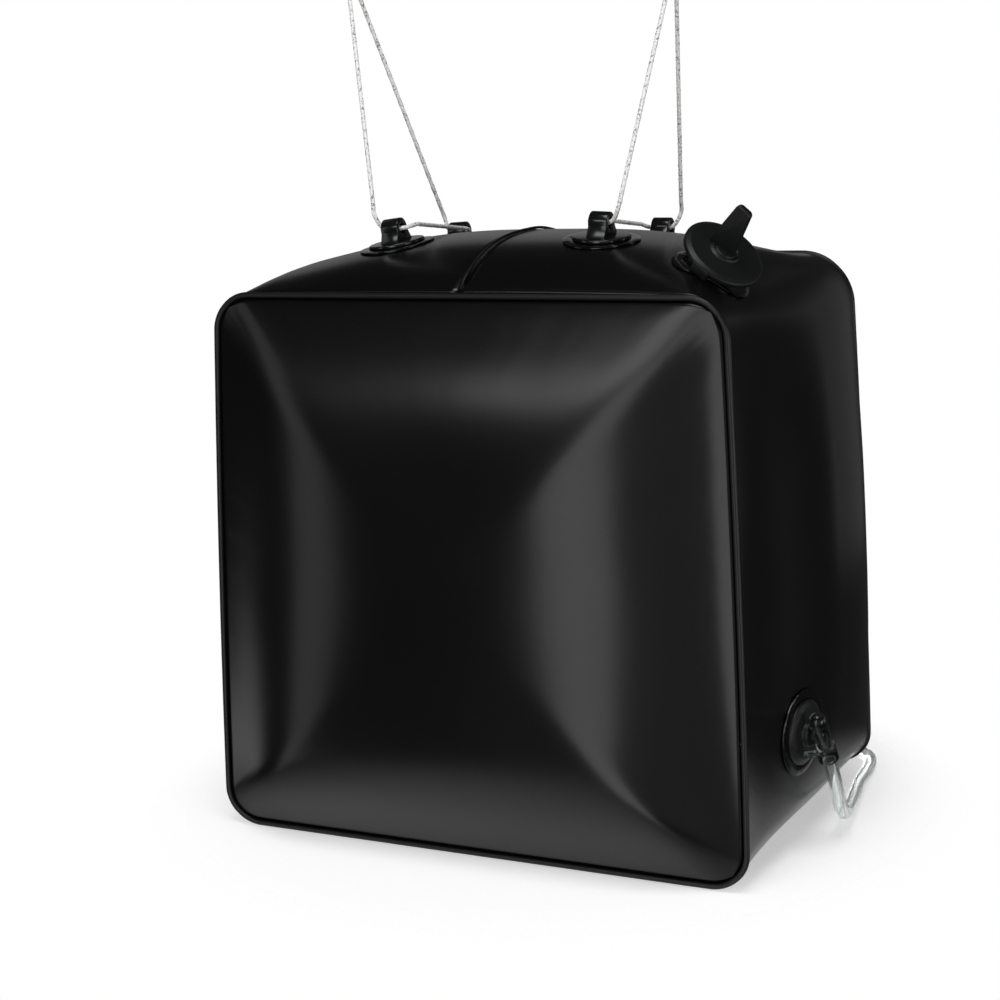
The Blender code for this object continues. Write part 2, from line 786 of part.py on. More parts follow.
def cap_mesh(hinge_to_middle):
    """The cap round its hinge axis: disc, plug, hub and an upright finger grip."""
    plug_radius = FILLER_BORE_RADIUS - CLEARANCE
    tip_radius = plug_radius - CAP_PLUG_TAPER
    under = -CAP_THICKNESS
    profile = [
        (0, CAP_HUB_HEIGHT),
        (CAP_HUB_RADIUS - CAP_HUB_HEIGHT, CAP_HUB_HEIGHT),
        (CAP_HUB_RADIUS, 0),
        (CAP_RADIUS - CAP_EDGE_RADIUS, 0),
        (CAP_RADIUS, -CAP_EDGE_RADIUS),
        (CAP_RADIUS, under),
        (plug_radius, under),
        (tip_radius, under - CAP_PLUG_LENGTH),
        (tip_radius - CAP_PLUG_WALL, under - CAP_PLUG_LENGTH),
        (tip_radius - CAP_PLUG_WALL, under + CAP_PLUG_WALL),
        (0, under + CAP_PLUG_WALL),
    ]
    cap = bpy.data.objects.new("cap", turned_mesh("cap", profile))
    cap.location = (0, hinge_to_middle, 0)
    bpy.context.scene.collection.objects.link(cap)
    half_root, half_tip = GRIP_ROOT_WIDTH / 2, GRIP_TIP_WIDTH / 2
    height = GRIP_LENGTH + CAP_THICKNESS / 2
    round_x, round_y = half_tip - GRIP_TIP_RADIUS, height - GRIP_TIP_RADIUS
    grip = [(half_root, 0)]
    grip += arc(GRIP_TIP_SHIFT + round_x, round_y, GRIP_TIP_RADIUS, 0, 90, 4)
    grip += arc(GRIP_TIP_SHIFT - round_x, round_y, GRIP_TIP_RADIUS, 90, 180, 4)
    grip += [(-half_root, 0)]
    grip_mesh = flat_mesh("cap_grip", [grip], GRIP_THICKNESS)
    place = Matrix.Translation((GRIP_ROOT_X, hinge_to_middle, under / 2))
    stand = Matrix.Rotation(math.pi / 2, 4, "X")
    add_boolean(cap, add_cutter("cap_grip", grip_mesh, place @ stand), "UNION")
    bpy.context.view_layer.update()
    mesh = evaluated_mesh(cap)
    mesh.transform(Matrix.Translation((0, hinge_to_middle, 0)))
    return mesh


def outlet_place():
    depth = OUTLET_Y / HALF_DEPTH
    return right_share(OUTLET_HEIGHT, depth), depth


def elbow_frame(seat):
    """The elbow's barrel: its origin is level with the boss, and Z points up the barrel."""
    reach = OUTLET_PLATE_THICKNESS + OUTLET_BOSS_HEIGHT + CLEARANCE + ELBOW_RADIUS
    reach += OUTLET_BOSS_RADIUS * math.sin(ELBOW_LEAN_OUT)
    upright_barrel = Matrix.Rotation(-math.pi / 2, 4, "X")
    lean = Matrix.Rotation(-ELBOW_LEAN_OUT, 4, "X") @ Matrix.Rotation(-ELBOW_LEAN_BACK, 4, "Y")
    return seat @ Matrix.Translation((0, 0, reach)) @ upright_barrel @ lean


def elbow_mesh(seat):
    """A closed barrel with a round top, and its inlet on the outlet's boss."""
    top = [
        (radius, height + ELBOW_RISE - ELBOW_RADIUS)
        for radius, height in reversed(arc(0, 0, ELBOW_RADIUS, 0, 90, 5))
    ]
    top[0] = (0, ELBOW_RISE)
    narrow = ELBOW_RADIUS - ELBOW_STEP
    barrel = top + [
        (ELBOW_RADIUS, -ELBOW_STEP_HEIGHT),
        (narrow, -ELBOW_STEP_HEIGHT),
        (narrow, -ELBOW_DROP),
        (0, -ELBOW_DROP),
    ]
    frame = elbow_frame(seat)
    obj = bpy.data.objects.new("elbow", turned_mesh("elbow", barrel))
    obj.matrix_world = frame
    bpy.context.scene.collection.objects.link(obj)
    low = OUTLET_PLATE_THICKNESS + OUTLET_BOSS_HEIGHT + CLEARANCE
    inlet = cylinder_mesh("elbow_inlet", ELBOW_INLET_RADIUS, low, low + ELBOW_RADIUS)
    add_boolean(obj, add_cutter("elbow_inlet", inlet, seat), "UNION")
    return evaluated_mesh(obj)


def collar_frame(seat):
    """The collar's upper face, with Z down along the hose."""
    down = elbow_frame(seat) @ Matrix.Translation((0, 0, -ELBOW_DROP - CLEARANCE))
    return down @ Matrix.Rotation(math.pi, 4, "X")


def collar_mesh():
    """The collar that clips the hose to the elbow, with the ear that opens it."""
    mesh = cylinder_mesh("hose_collar", COLLAR_RADIUS, 0, COLLAR_LENGTH)
    collar = bpy.data.objects.new("hose_collar", mesh)
    bpy.context.scene.collection.objects.link(collar)
    half = EAR_WIDTH / 2
    tip = -COLLAR_RADIUS - EAR_LENGTH
    ear = [(0, -half), (0, half)] + arc(tip + half, 0, half, 90, 270, 8)
    place = Matrix.Translation((0, 0, COLLAR_LENGTH / 2))
    place = place @ Matrix.Rotation(EAR_TURN, 4, "Z") @ Matrix.Rotation(-EAR_TILT, 4, "Y")
    ear_cutter = add_cutter("collar_ear", flat_mesh("collar_ear", [ear], EAR_THICKNESS), place)
    add_boolean(collar, ear_cutter, "UNION")
    return evaluated_mesh(collar)


def add_outlet(gusset, film, moulding, clear_moulding, rubber):
    along, depth = outlet_place()
    seat = seat_frame(RIGHT, along, depth, OUTLET_PLATE_RADIUS)
    cut_hole(gusset, "outlet_hole", seat, OUTLET_STEM_RADIUS + CLEARANCE)
    add_patch(
        "outlet_patch", RIGHT, along, depth,
        OUTLET_PLATE_RADIUS + CLEARANCE, OUTLET_PATCH_RADIUS, OUTLET_PATCH_THICKNESS, film,
    )
    plate = [
        (0, OUTLET_PLATE_THICKNESS + OUTLET_BOSS_HEIGHT),
        (OUTLET_BOSS_RADIUS, OUTLET_PLATE_THICKNESS + OUTLET_BOSS_HEIGHT),
        (OUTLET_BOSS_RADIUS, OUTLET_PLATE_THICKNESS),
        (OUTLET_PLATE_RADIUS - CAP_EDGE_RADIUS, OUTLET_PLATE_THICKNESS),
        (OUTLET_PLATE_RADIUS, OUTLET_PLATE_THICKNESS - CAP_EDGE_RADIUS),
        (OUTLET_PLATE_RADIUS, 0),
        (OUTLET_STEM_RADIUS, 0),
        (OUTLET_STEM_RADIUS, -OUTLET_STEM_LENGTH),
        (0, -OUTLET_STEM_LENGTH),
    ]
    shade(add_object("outlet_plate", turned_mesh("outlet_plate", plate), moulding, seat))
    low, high = film_heights(RIGHT, along, depth, OUTLET_WASHER_RADIUS)
    inside = low - high - 2 * FILM_OUTSIDE
    ring = OUTLET_STEM_RADIUS + CLEARANCE
    washer = ring_profile(ring, OUTLET_WASHER_RADIUS, inside - OUTLET_WASHER_THICKNESS, inside)
    shade(add_object("outlet_washer", turned_mesh("washer", washer, closed=True), rubber, seat))
    top = inside - OUTLET_WASHER_THICKNESS - CLEARANCE
    nut = ring_profile(ring, OUTLET_NUT_RADIUS, top - OUTLET_NUT_THICKNESS, top)
    shade(add_object("outlet_nut", turned_mesh("nut", nut, closed=True), moulding, seat))
    shade(add_object("outlet_elbow", elbow_mesh(seat), clear_moulding, elbow_frame(seat)))
    end = collar_frame(seat)
    shade(add_object("hose_collar", collar_mesh(), clear_moulding, end))
    return end @ Matrix.Translation((0, 0, COLLAR_LENGTH + CLEARANCE))


def axis_frame(place, way):
    """A frame at a place, with its Z along a level way and its Y up."""
    frame = Matrix.Identity(4)
    frame.col[0].xyz = Vector((0, 0, 1)).cross(way)
    frame.col[1].xyz = Vector((0, 0, 1))
    frame.col[2].xyz = way
    frame.col[3].xyz = place
    return frame


def ring_profile(inner, outer, low, high):
    return [(outer, high), (outer, low), (inner, low), (inner, high)]


def coil_points():
    """The coiled hose: turns piled on one another, each climbing over the same stretch."""
    pitch = 2 * HOSE_RADIUS + COIL_GAP
    count = round(COIL_TURNS * COIL_POINTS)
    points = []
    for i in range(count + 1):
        turns = i / COIL_POINTS
        whole = int(turns)
        climb = min(1, max(0, (turns - whole - COIL_CLIMB_START) / COIL_CLIMB_SHARE))
        climb = climb * climb * (3 - 2 * climb)
        angle = -math.pi / 2 - 2 * math.pi * turns
        points.append(Vector((
            COIL_X + COIL_RADIUS * math.cos(angle),
            COIL_Y + COIL_RADIUS * math.sin(angle),
            HOSE_RADIUS + pitch * (whole + climb),
        )))
    straight = Vector((2 * HOSE_RADIUS, 0, 0))
    return [points[0] + straight, *points, points[-1] - straight]


def least_gap(points, radius):
    """How near a tube comes to itself, measured between stretches that aren't neighbours."""
    tree = KDTree(len(points))
    for i, point in enumerate(points):
        tree.insert(point, i)
    tree.balance()
    apart = COIL_POINTS / 2
    return min(
        distance
        for i, point in enumerate(points)
        for _, j, distance in tree.find_range(point, 4 * radius)
        if abs(i - j) > apart
    ) - 2 * radius


def add_hose(start, clear, moulding, plate):
    coil = coil_points()
    print(f"least gap of the coil to itself: {least_gap(coil, HOSE_RADIUS) * 1000:.2f} mm")
    entry = coil[0] + Vector((1, 0, 0)) * CLEARANCE
    way_out = Vector((-1, 0, 0))
    first = start.translation
    route = [first, first + start.col[2].xyz * 2 * HOSE_RADIUS, *HOSE_ROUTE, entry]
    points = smooth_route(route, HOSE_POINTS)
    add_object("shower_hose", tube_curve("shower_hose", points, HOSE_RADIUS, 2), clear)
    add_object("hose_coil", tube_curve("hose_coil", coil, HOSE_RADIUS, 1), clear)
    head = axis_frame(HEAD_PLACE, way_out)
    tail_end = HEAD_PLACE - way_out * (VALVE_LENGTH + CLEARANCE)
    tail_start = coil[-1] + way_out * CLEARANCE
    straight = way_out * 2 * HOSE_RADIUS
    tail = [tail_start, tail_start + straight, *TAIL_ROUTE, tail_end - straight, tail_end]
    tail_points = smooth_route(tail, TAIL_POINTS)
    add_object("hose_tail", tube_curve("hose_tail", tail_points, HOSE_RADIUS, 2), clear)
    add_head(head, moulding, plate)


def add_head(frame, moulding, plate):
    """The shower head: its origin is the shoulder that the rose closes on."""
    valve = [
        (0, SPIGOT_LENGTH),
        (SPIGOT_RADIUS, SPIGOT_LENGTH),
        (SPIGOT_RADIUS, -CLEARANCE),
        (VALVE_RADIUS, -CLEARANCE),
        (VALVE_RADIUS, -VALVE_LENGTH + VALVE_TAPER),
        (HOSE_RADIUS, -VALVE_LENGTH),
        (0, -VALVE_LENGTH),
    ]
    shade(add_object("shower_head_valve", turned_mesh("valve", valve), moulding, frame))
    plate_radius = ROSE_RADIUS - ROSE_WALL
    floor_height = ROSE_LENGTH - SPRAY_PLATE_THICKNESS - CLEARANCE
    rose = [
        (0, floor_height),
        (plate_radius + CLEARANCE, floor_height),
        (plate_radius + CLEARANCE, ROSE_LENGTH),
        (ROSE_RADIUS, ROSE_LENGTH),
        (ROSE_RADIUS, ROSE_LENGTH - ROSE_RIM),
        (ROSE_NECK_RADIUS, ROSE_RIM),
        (ROSE_NECK_RADIUS, 0),
        (SPIGOT_RADIUS + CLEARANCE, 0),
        (SPIGOT_RADIUS + CLEARANCE, SPIGOT_LENGTH + CLEARANCE),
        (0, SPIGOT_LENGTH + CLEARANCE),
    ]
    shade(add_object("shower_rose", turned_mesh("rose", rose), moulding, frame))
    spray = cylinder_mesh("spray_plate", plate_radius, floor_height + CLEARANCE, ROSE_LENGTH)
    shade(add_object("spray_plate", spray, plate, frame))


def main():
    for obj in list(bpy.data.objects):
        bpy.data.objects.remove(obj)
    make_collection("camp_shower_bag")
    make_collection("cutters")
    film = make_material("black_film", (0.012, 0.012, 0.013), 0.35)
    welt = make_material("black_welt", (0.008, 0.008, 0.009), 0.4)
    moulding = make_material("black_moulding", (0.01, 0.01, 0.011), 0.22)
    clear_moulding = make_material("clear_moulding", (0.8, 0.83, 0.82), 0.12, alpha=0.5)
    rope = make_material("white_rope", (0.8, 0.8, 0.78), 0.75)
    rubber = make_material("grey_rubber", (0.05, 0.05, 0.05), 0.7)
    clear = make_material("clear_hose", (0.85, 0.87, 0.87), 0.12, alpha=0.45)
    plate = make_material("grey_plate", (0.25, 0.25, 0.26), 0.4)

    add_panel("front_panel", -1, FRONT_CROWN, film)
    add_panel("back_panel", 1, BACK_CROWN, film)
    gusset = add_gusset(film)
    add_welt("front_welt", -1, welt)
    add_welt("back_welt", 1, welt)
    add_top_welt(welt)
    add_lugs(moulding, film)
    add_handles(rope)
    add_filler(gusset, film, moulding)
    hose_start = add_outlet(gusset, film, moulding, clear_moulding, rubber)
    add_hose(hose_start, clear, moulding, plate)


main()
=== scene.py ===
"""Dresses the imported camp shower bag: its film, seams, fittings, ropes, hose and studio.

Metres, +Z up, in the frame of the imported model. The front film faces -Y.
"""

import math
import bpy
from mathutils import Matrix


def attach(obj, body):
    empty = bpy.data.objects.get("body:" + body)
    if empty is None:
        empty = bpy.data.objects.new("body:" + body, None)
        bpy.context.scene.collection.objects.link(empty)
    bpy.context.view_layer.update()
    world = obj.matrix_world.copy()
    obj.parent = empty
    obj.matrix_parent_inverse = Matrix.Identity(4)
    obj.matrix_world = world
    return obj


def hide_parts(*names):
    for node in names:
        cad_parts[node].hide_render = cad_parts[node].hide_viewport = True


bl_info = {
    "name": "Camp Shower Bag",
    "version": (1, 0, 0),
    "blender": (4, 5, 0),
    "location": "View3D > Sidebar > Shower Bag",
    "description": "Film, seams, fittings, ropes, hose and studio of a camp shower bag",
    "category": "Object",
}

import bmesh
import bpy
from bpy.props import FloatProperty, FloatVectorProperty, PointerProperty
from mathutils import Matrix, Vector, noise

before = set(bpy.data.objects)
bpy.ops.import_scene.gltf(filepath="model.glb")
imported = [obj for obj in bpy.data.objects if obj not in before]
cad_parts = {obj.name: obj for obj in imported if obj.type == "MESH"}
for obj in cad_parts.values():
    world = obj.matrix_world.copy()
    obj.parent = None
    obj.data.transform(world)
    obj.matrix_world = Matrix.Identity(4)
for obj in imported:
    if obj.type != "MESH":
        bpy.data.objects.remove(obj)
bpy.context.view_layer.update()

# The bag's shape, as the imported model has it
GAP = 0.0003
TOP_WIDTH = 0.350
BOTTOM_WIDTH = 0.374
HEIGHT = 0.368
DEPTH = 0.268
FILM = 0.0006
WELT_RADIUS = 0.002
TOP_WELT_RADIUS = 0.0015
WELT_CORNER = 0.023
BACK_TOP_CORNER = 0.034
BACK_TOP_DRAW_IN = 0.0035
WELT_BOW = 0.002
TOP_LEFT_DROP = 0.006
MIDDLE_TOP_CORNER = 0.038
MIDDLE_BOTTOM_CORNER = 0.032
FRONT_CROWN = 0.036
BACK_CROWN = 0.030
CROWN_POWER = 3.4
CROWN_SIDE_POWER = 0.4
CROWN_BOTTOM_POWER = 2.6
CROWN_ROUNDING = 1.4
TOP_SWELL = 0.031
RIGHT_SWELL = 0.019
LEFT_SWELL = 0.016
SHOULDER_SWELL = 0.007
CORNER_SHARE = 0.25
LEDGE_SHARE = 0.25
TOP_CREST_X_SHARE = 0.08
TOP_CREST_Y_SHARE = -0.15
RIGHT_CREST_SHARE = 0.1
BOTTOM, RIGHT, TOP, LEFT = range(4)
HALF_DEPTH = DEPTH / 2
HALF_HEIGHT = HEIGHT / 2
MIDDLE = HALF_HEIGHT + WELT_RADIUS
FILM_OUTSIDE = FILM / 2 + GAP
SHARE_STEP = 0.001
RIM_POINTS = 24
TINY = 1e-9
MERGE_DISTANCE = 1e-6
SHARE_TOLERANCE = 1e-6
HOLE_POINTS = 32

# The film's unevenness; a gather has a share, a pitch along and off the seam, and a shift of seed
GATHERS = ((0.7, 9, 14, 0), (0.3, 26, 30, 5))
GATHER_REACH = 0.030
GATHER_START = 0.006
DENT_PITCH = 11
DENT_START = 0.004
PANEL_DENT_FULL = 0.05
GUSSET_DENT_FULL = 0.04
FRONT_SEED = 1.0
BACK_SEED = 4.0
GUSSET_GATHER_SEED = 3.0
GUSSET_DENT_SEED = 8.0
BACK_SEAM_SHIFT = 20
TOP_STEEPER = 0.0010
RIGHT_FLATTER = 0.0020
LEAN_REACH = 0.020
LEAN_CORNER_SHARES = (-0.1, 0.4)
LOW_CALM_SHARES = (-0.98, -0.8)
LUG_FLAT_RADIUS = 0.027
FILLER_FLAT_RADIUS = 0.029
OUTLET_FLAT_RADIUS = 0.031
FLAT_EDGE = 0.012
PANEL_STEPS = 150
PANEL_EASING_ROUNDS = 120
SIDE_STEPS = 64
DEPTH_STEPS = 84

# Seams
WELT_STEPS = 60
WELT_UNEVENNESS = 0.00006
WELT_PITCH = 90
TOP_SEAM_STEPS = 120
TOP_SEAM_RUN_OUT = 0.012
TOP_SEAM_END_SHARE = 0.06
TOP_SEAM_RAISED_SHARE = 0.5
BEAD_SHARE = 0.62
BEAD_UNEVEN_SHARE = 0.05
BEAD_PITCH = 120

# Fittings
LUGS = {
    "front_left": (-0.079, -0.063),
    "front_right": (0.069, -0.063),
    "back_left": (-0.095, 0.060),
    "back_right": (0.062, 0.060),
}
LUG_RING_RADIUS = 0.025
LUG_RING_THICK = 0.001
LUG_BASE = 0.0185
LUG_BASE_THICK = 0.0025
LUG_WIDTH = 0.0125
LUG_HEIGHT = 0.0175
LUG_FOOT_LENGTH = 0.023
LUG_TOP = 0.0072
LUG_TOP_WRAP = 10
LUG_HOLE_RADIUS = 0.0036
LUG_BASE_EDGE = 0.0009
LUG_TAB_EDGE = 0.0006
FILLER_SHARES = (-0.82, -0.595)
FILLER_LEAN = math.radians(11)
FILLER_TILT = math.radians(15.5)
FILLER_RING_INNER = 0.0190
FILLER_RING_RADIUS = 0.0255
FILLER_RING_THICK = 0.0012
NECK_RADIUS = 0.0165
BORE_RADIUS = 0.0140
NECK_RISE = 0.0105
NECK_DEPTH = 0.014
NECK_EDGE = 0.0007
CAP_RADIUS = 0.0265
CAP_THICK = 0.0045
CAP_SLOPE_WIDTH = 0.0032
CAP_STEP_WIDTH = 0.0024
CAP_STEP_DEPTH = 0.0004
CAP_RIM_DEPTH = 0.0015
CAP_EDGE = 0.0008
HUB_RADIUS = 0.0100
HUB_HEIGHT = 0.0015
HUB_GROOVE_RADII = (0.0062, 0.0066, 0.0078, 0.0085)
HUB_GROOVE_FLOOR = 0.0007
PLUG_LENGTH = 0.006
PLUG_TAPER = 0.0012
PLUG_WALL = 0.0016
GRIP_ROOT_WIDTH = 0.0190
GRIP_ROOT_X = -0.0030
GRIP_TIP_WIDTH = 0.0110
GRIP_TIP_SHIFT = -0.0010
GRIP_TIP_RADIUS = 0.0030
GRIP_LENGTH = 0.0330
GRIP_THICK = 0.0045
GRIP_EDGE = 0.0009
STRAP_WIDTH = 0.0120
STRAP_THICK = 0.0016
STRAP_EDGE = 0.0004
HINGE_REACH = CAP_RADIUS + GAP + STRAP_THICK / 2
OUTLET_PLACE = (0.081, -0.050)
OUTLET_RING_RADIUS = 0.0285
OUTLET_RING_THICK = 0.0014
PLATE_RADIUS = 0.0215
PLATE_THICK = 0.0040
PLATE_SLOPE_WIDTH = 0.004
PLATE_RIM_SHARE = 0.6
PLATE_EDGE = 0.0009
BOSS_RADIUS = 0.0085
BOSS_HEIGHT = 0.0035
STEM_RADIUS = 0.0070
STEM_LENGTH = 0.0140
ELBOW_RADIUS = 0.0056
ELBOW_RISE = 0.0180
ELBOW_DROP = 0.0085
ELBOW_STEP = 0.0008
ELBOW_STEP_HEIGHT = 0.001
ELBOW_BORE = 0.0030
ELBOW_BORE_SHOULDER = 0.0020
ELBOW_BORE_TIP = 0.0040
ELBOW_INLET = 0.0045
ELBOW_EDGE = 0.0004
ELBOW_BACK = math.radians(25)
ELBOW_OUT = math.radians(4)
COLLAR_LENGTH = 0.0110
COLLAR_MERGE_DISTANCE = 0.00001
COLLAR_EDGE = 0.0004
RING_EDGE_SHARE = 0.35
RING_STEP = 0.003

# Ropes and hose
ROPE_RADIUS = 0.0015
ROPE_BEND = 0.0076
ROPE_INSIDE_SHARE = 0.6
ROPE_MOUTH_SHARES = (0.35, 0.4)
ROPE_TURN_SHARES = (0.7, 1.5)
ROPE_RISE_SHARES = (0.8, 1.5)
ROPE_TAUT_SHARES = (0.05, 0.12, 0.25, 0.5, 0.75, 0.88, 0.95)
ROPE_SPACING = 0.0008
BRAID_STRANDS = 8
BRAID_LAY = 0.011
BRAID_SHARES = (0.93, 0.06, 0.04)
KNOT_RADIUS = 0.005
KNOT_CORD_RADIUS = 0.0014
KNOT_DEPTH_SHARE = 1.4
KNOT_STEPS = 160
LEFT_KNOT = Vector((-0.1435, 0, 0.578))
RIGHT_KNOT = Vector((0.0965, 0, 0.572))
HOSE_RADIUS = 0.0045
HOSE_WALL = 0.0014
HOSE_FINE_SPACING = 0.002
HOSE_SPACING = 0.0025
ROUTE_STEPS = 24
COIL_RADIUS = 0.046
COIL_GAP = 0.0009
COIL_X = 0.085
COIL_Y = 0.204
COIL_TURNS = 3
COIL_POINTS = 24
CLIMB_START = 0.35
CLIMB_SHARE = 0.35
HOSE_ROUTE = (
    (0.2138, -0.0310, 0.0370),
    (0.2120, -0.0170, 0.0205),
    (0.2085, 0.0040, 0.0095),
    (0.2030, 0.0400, 0.0055),
    (0.1965, 0.0800, 0.0050),
    (0.1935, 0.1130, 0.0050),
    (0.1875, 0.1355, 0.0050),
    (0.1710, 0.1520, 0.0050),
    (0.1485, 0.1580, 0.0049),
    (0.1200, 0.1580, 0.0046),
)
TAIL_ROUTE = (
    (0.0520, 0.1596, 0.0327),
    (0.0370, 0.1650, 0.0276),
    (0.0220, 0.1704, 0.0225),
)

# Shower head
VALVE_RADIUS = 0.0085
VALVE_LENGTH = 0.024
VALVE_TAPER = 0.006
VALVE_EDGE = 0.0003
GROOVE_COUNT = 5
GROOVE_START = 0.003
GROOVE_PITCH = 0.0026
GROOVE_DEPTHS = (0, 0.0005, 0.0005, 0)
GROOVE_PLACES = (0, 0.0005, 0.0011, 0.0016)
SPIGOT_RADIUS = 0.0060
SPIGOT_LENGTH = 0.016
ROSE_RADIUS = 0.0210
ROSE_NECK = 0.0100
ROSE_LENGTH = 0.034
ROSE_RIM = 0.006
ROSE_WALL = 0.0018
ROSE_SHOULDER_OUT = 0.0035
ROSE_SHOULDER_RISE = 0.006
ROSE_EDGE = 0.0010
HEAD_PLACE = Vector((-0.026, 0.172, ROSE_RADIUS))
SPRAY_THICK = 0.002
SPRAY_EDGE = 0.0005
JET_RINGS = 4
JET_PITCH = 0.0048
JET = (
    (0, -0.0002),
    (0.0004, -0.0002),
    (0.0005, 0),
    (0.0005, 0.00035),
    (0.0009, 0.00035),
    (0.0011, -0.0001),
)

# Stage
CAMERA_PLACE = (0.61789, -1.37546, 0.52574)
CAMERA_YAW = math.radians(25.51)
CAMERA_PITCH = math.radians(11.76)
CAMERA_ROLL = math.radians(-1.66)
WHITE = (1, 1, 1, 1)
FLOOR_RADIUS = 0.5
FLOOR_DROP = 0.0005
FLOOR_GLOW = 0.45
FLOOR_FADE_START = 0.18
FLOOR_FADE_END = 0.3


# The surface of the bag


def full(share):
    """A swell that stays high nearly as far as the seam."""
    return 1 - share ** 3


def slack(share):
    """A swell that falls off sooner."""
    return (1 - share * share) ** 2.5


def across(share, crest, before, after):
    """A swell over a share from -1 to 1, with its crest where it's given."""
    if share > crest:
        return after((share - crest) / (1 - crest))
    return before((crest - share) / (1 + crest))


def fade(share):
    return (1 - min(1, abs(share)) ** 3) ** 1.5


def ledge(share):
    return min(1, (1 - abs(share)) / LEDGE_SHARE)


def smooth(value, low, high):
    """0 below low, 1 above high, with an easy slope between."""
    share = min(1, max(0, (value - low) / (high - low)))
    return share * share * (3 - 2 * share)


def swell(side, along, depth):
    """How far the gusset stands out from the straight line between its two welts."""
    if side == BOTTOM:
        return (WELT_RADIUS - FILM / 2) * ledge(along) * ledge(depth)
    shoulder = SHOULDER_SWELL * full(abs(depth))
    if side == TOP:
        middle = TOP_SWELL * across(depth, TOP_CREST_Y_SHARE, full, slack)
        crest = TOP_CREST_X_SHARE * (1 - along * along)
        return shoulder + (middle - shoulder) * fade(-along - crest)
    if (along < 0) == (side == RIGHT):
        shoulder = 0
    if side == RIGHT:
        middle = RIGHT_SWELL * across(depth, RIGHT_CREST_SHARE, slack, full)
    else:
        middle = LEFT_SWELL * full(abs(depth))
    return shoulder + (middle - shoulder) * fade(along)


def corner_radius(side, along, depth):
    top_end = side == TOP or (side == RIGHT and along > 0) or (side == LEFT and along < 0)
    welt, middle = WELT_CORNER, MIDDLE_BOTTOM_CORNER
    if top_end:
        welt += (BACK_TOP_CORNER - WELT_CORNER) * (1 + depth) / 2
        middle = MIDDLE_TOP_CORNER
    return welt + (middle - welt) * full(abs(depth))


def outline(side, along, depth, out):
    """A point (x, z) of the bag's outline, moved outwards; along runs over one side."""
    radius = corner_radius(side, along, depth)
    to_side, half_side = (HALF_HEIGHT, TOP_WIDTH / 2)
    if side in (RIGHT, LEFT):
        to_side, half_side = half_side, to_side
        out = out + WELT_BOW * (1 - along * along)
    straight = 1 - CORNER_SHARE
    turn = math.pi / 4 * max(0, abs(along) - straight) / CORNER_SHARE
    run = (half_side - radius) * min(1, abs(along) / straight) + (radius + out) * math.sin(turn)
    run = math.copysign(run, along)
    rise = to_side - radius + (radius + out) * math.cos(turn)
    x, z = ((run, -rise), (rise, run), (-run, rise), (-rise, -run))[side]
    height_share = max(0, (z + HALF_HEIGHT) / HEIGHT)
    lean = (BOTTOM_WIDTH / TOP_WIDTH - 1) * (1 - height_share)
    drop = TOP_LEFT_DROP * height_share * (1 - 2 * x / TOP_WIDTH) / 2
    lean -= 2 * BACK_TOP_DRAW_IN / TOP_WIDTH * height_share * (1 + depth) / 2
    return x * (1 + lean), z - drop + MIDDLE


def gusset_point(side, along, depth):
    if abs(along) > 1:
        step = int(math.copysign(1, along))
        side, along = (side + step) % 4, along - 2 * step
    x, z = outline(side, along, depth, swell(side, along, depth))
    return Vector((x, depth * HALF_DEPTH, z))


def columns(*vectors):
    """A matrix of its three axes and its place."""
    matrix = Matrix.Identity(4)
    for column, vector in enumerate(vectors):
        matrix.col[column].xyz = vector
    return matrix


def gusset_axes(side, along, depth):
    """A point of the gusset with its axes, Z outwards, and its slopes along both shares."""
    point = gusset_point(side, along, depth)
    run = (gusset_point(side, along + SHARE_STEP, depth) - point) / SHARE_STEP
    back = (gusset_point(side, along, depth + SHARE_STEP) - point) / SHARE_STEP
    outward = back.cross(run).normalized()
    first = (-run if side == TOP else back).normalized()
    return columns(first, outward.cross(first), outward, point), run, back


def gusset_beside(side, along, depth, x, y):
    """The shares of the gusset's point that lies x and y from another, along its axes."""
    axes, run, back = gusset_axes(side, along, depth)
    inverse = axes.inverted()
    slopes = Matrix((
        (axes.col[0].xyz.dot(run), axes.col[0].xyz.dot(back)),
        (axes.col[1].xyz.dot(run), axes.col[1].xyz.dot(back)),
    )).inverted()
    shares = Vector((along, depth))
    for _ in range(6):
        found = inverse @ gusset_point(side, *shares)
        shares += slopes @ Vector((x - found.x, y - found.y))
    return tuple(shares)


def seat_frame(side, along, depth, radius):
    """Where a flat round foot rests on the outside of the gusset."""
    axes = gusset_axes(side, along, depth)[0]
    inverse = axes.inverted()
    highest = 0
    for i in range(RIM_POINTS):
        angle = 2 * math.pi * i / RIM_POINTS
        shares = gusset_beside(
            side, along, depth, radius * math.cos(angle), radius * math.sin(angle)
        )
        highest = max(highest, (inverse @ gusset_point(side, *shares)).z)
    return axes @ Matrix.Translation((0, 0, highest + FILM_OUTSIDE))


def lug_place(name):
    x, y = LUGS[name]
    depth = y / HALF_DEPTH
    flat_half = TOP_WIDTH / 2 - corner_radius(TOP, -x, depth)
    return -x / flat_half * (1 - CORNER_SHARE), depth


def lug_seat(name):
    return seat_frame(TOP, *lug_place(name), LUG_BASE)


def filler_seat():
    axes = gusset_axes(TOP, *FILLER_SHARES)[0]
    return axes @ Matrix.Rotation(FILLER_LEAN, 4, "Y") @ Matrix.Rotation(FILLER_TILT, 4, "X")


def outlet_place():
    height, y = OUTLET_PLACE
    depth = y / HALF_DEPTH
    low_half = HALF_HEIGHT - corner_radius(RIGHT, height - MIDDLE, depth)
    return (height - MIDDLE) / low_half * (1 - CORNER_SHARE), depth


def outlet_seat():
    return seat_frame(RIGHT, *outlet_place(), PLATE_RADIUS)


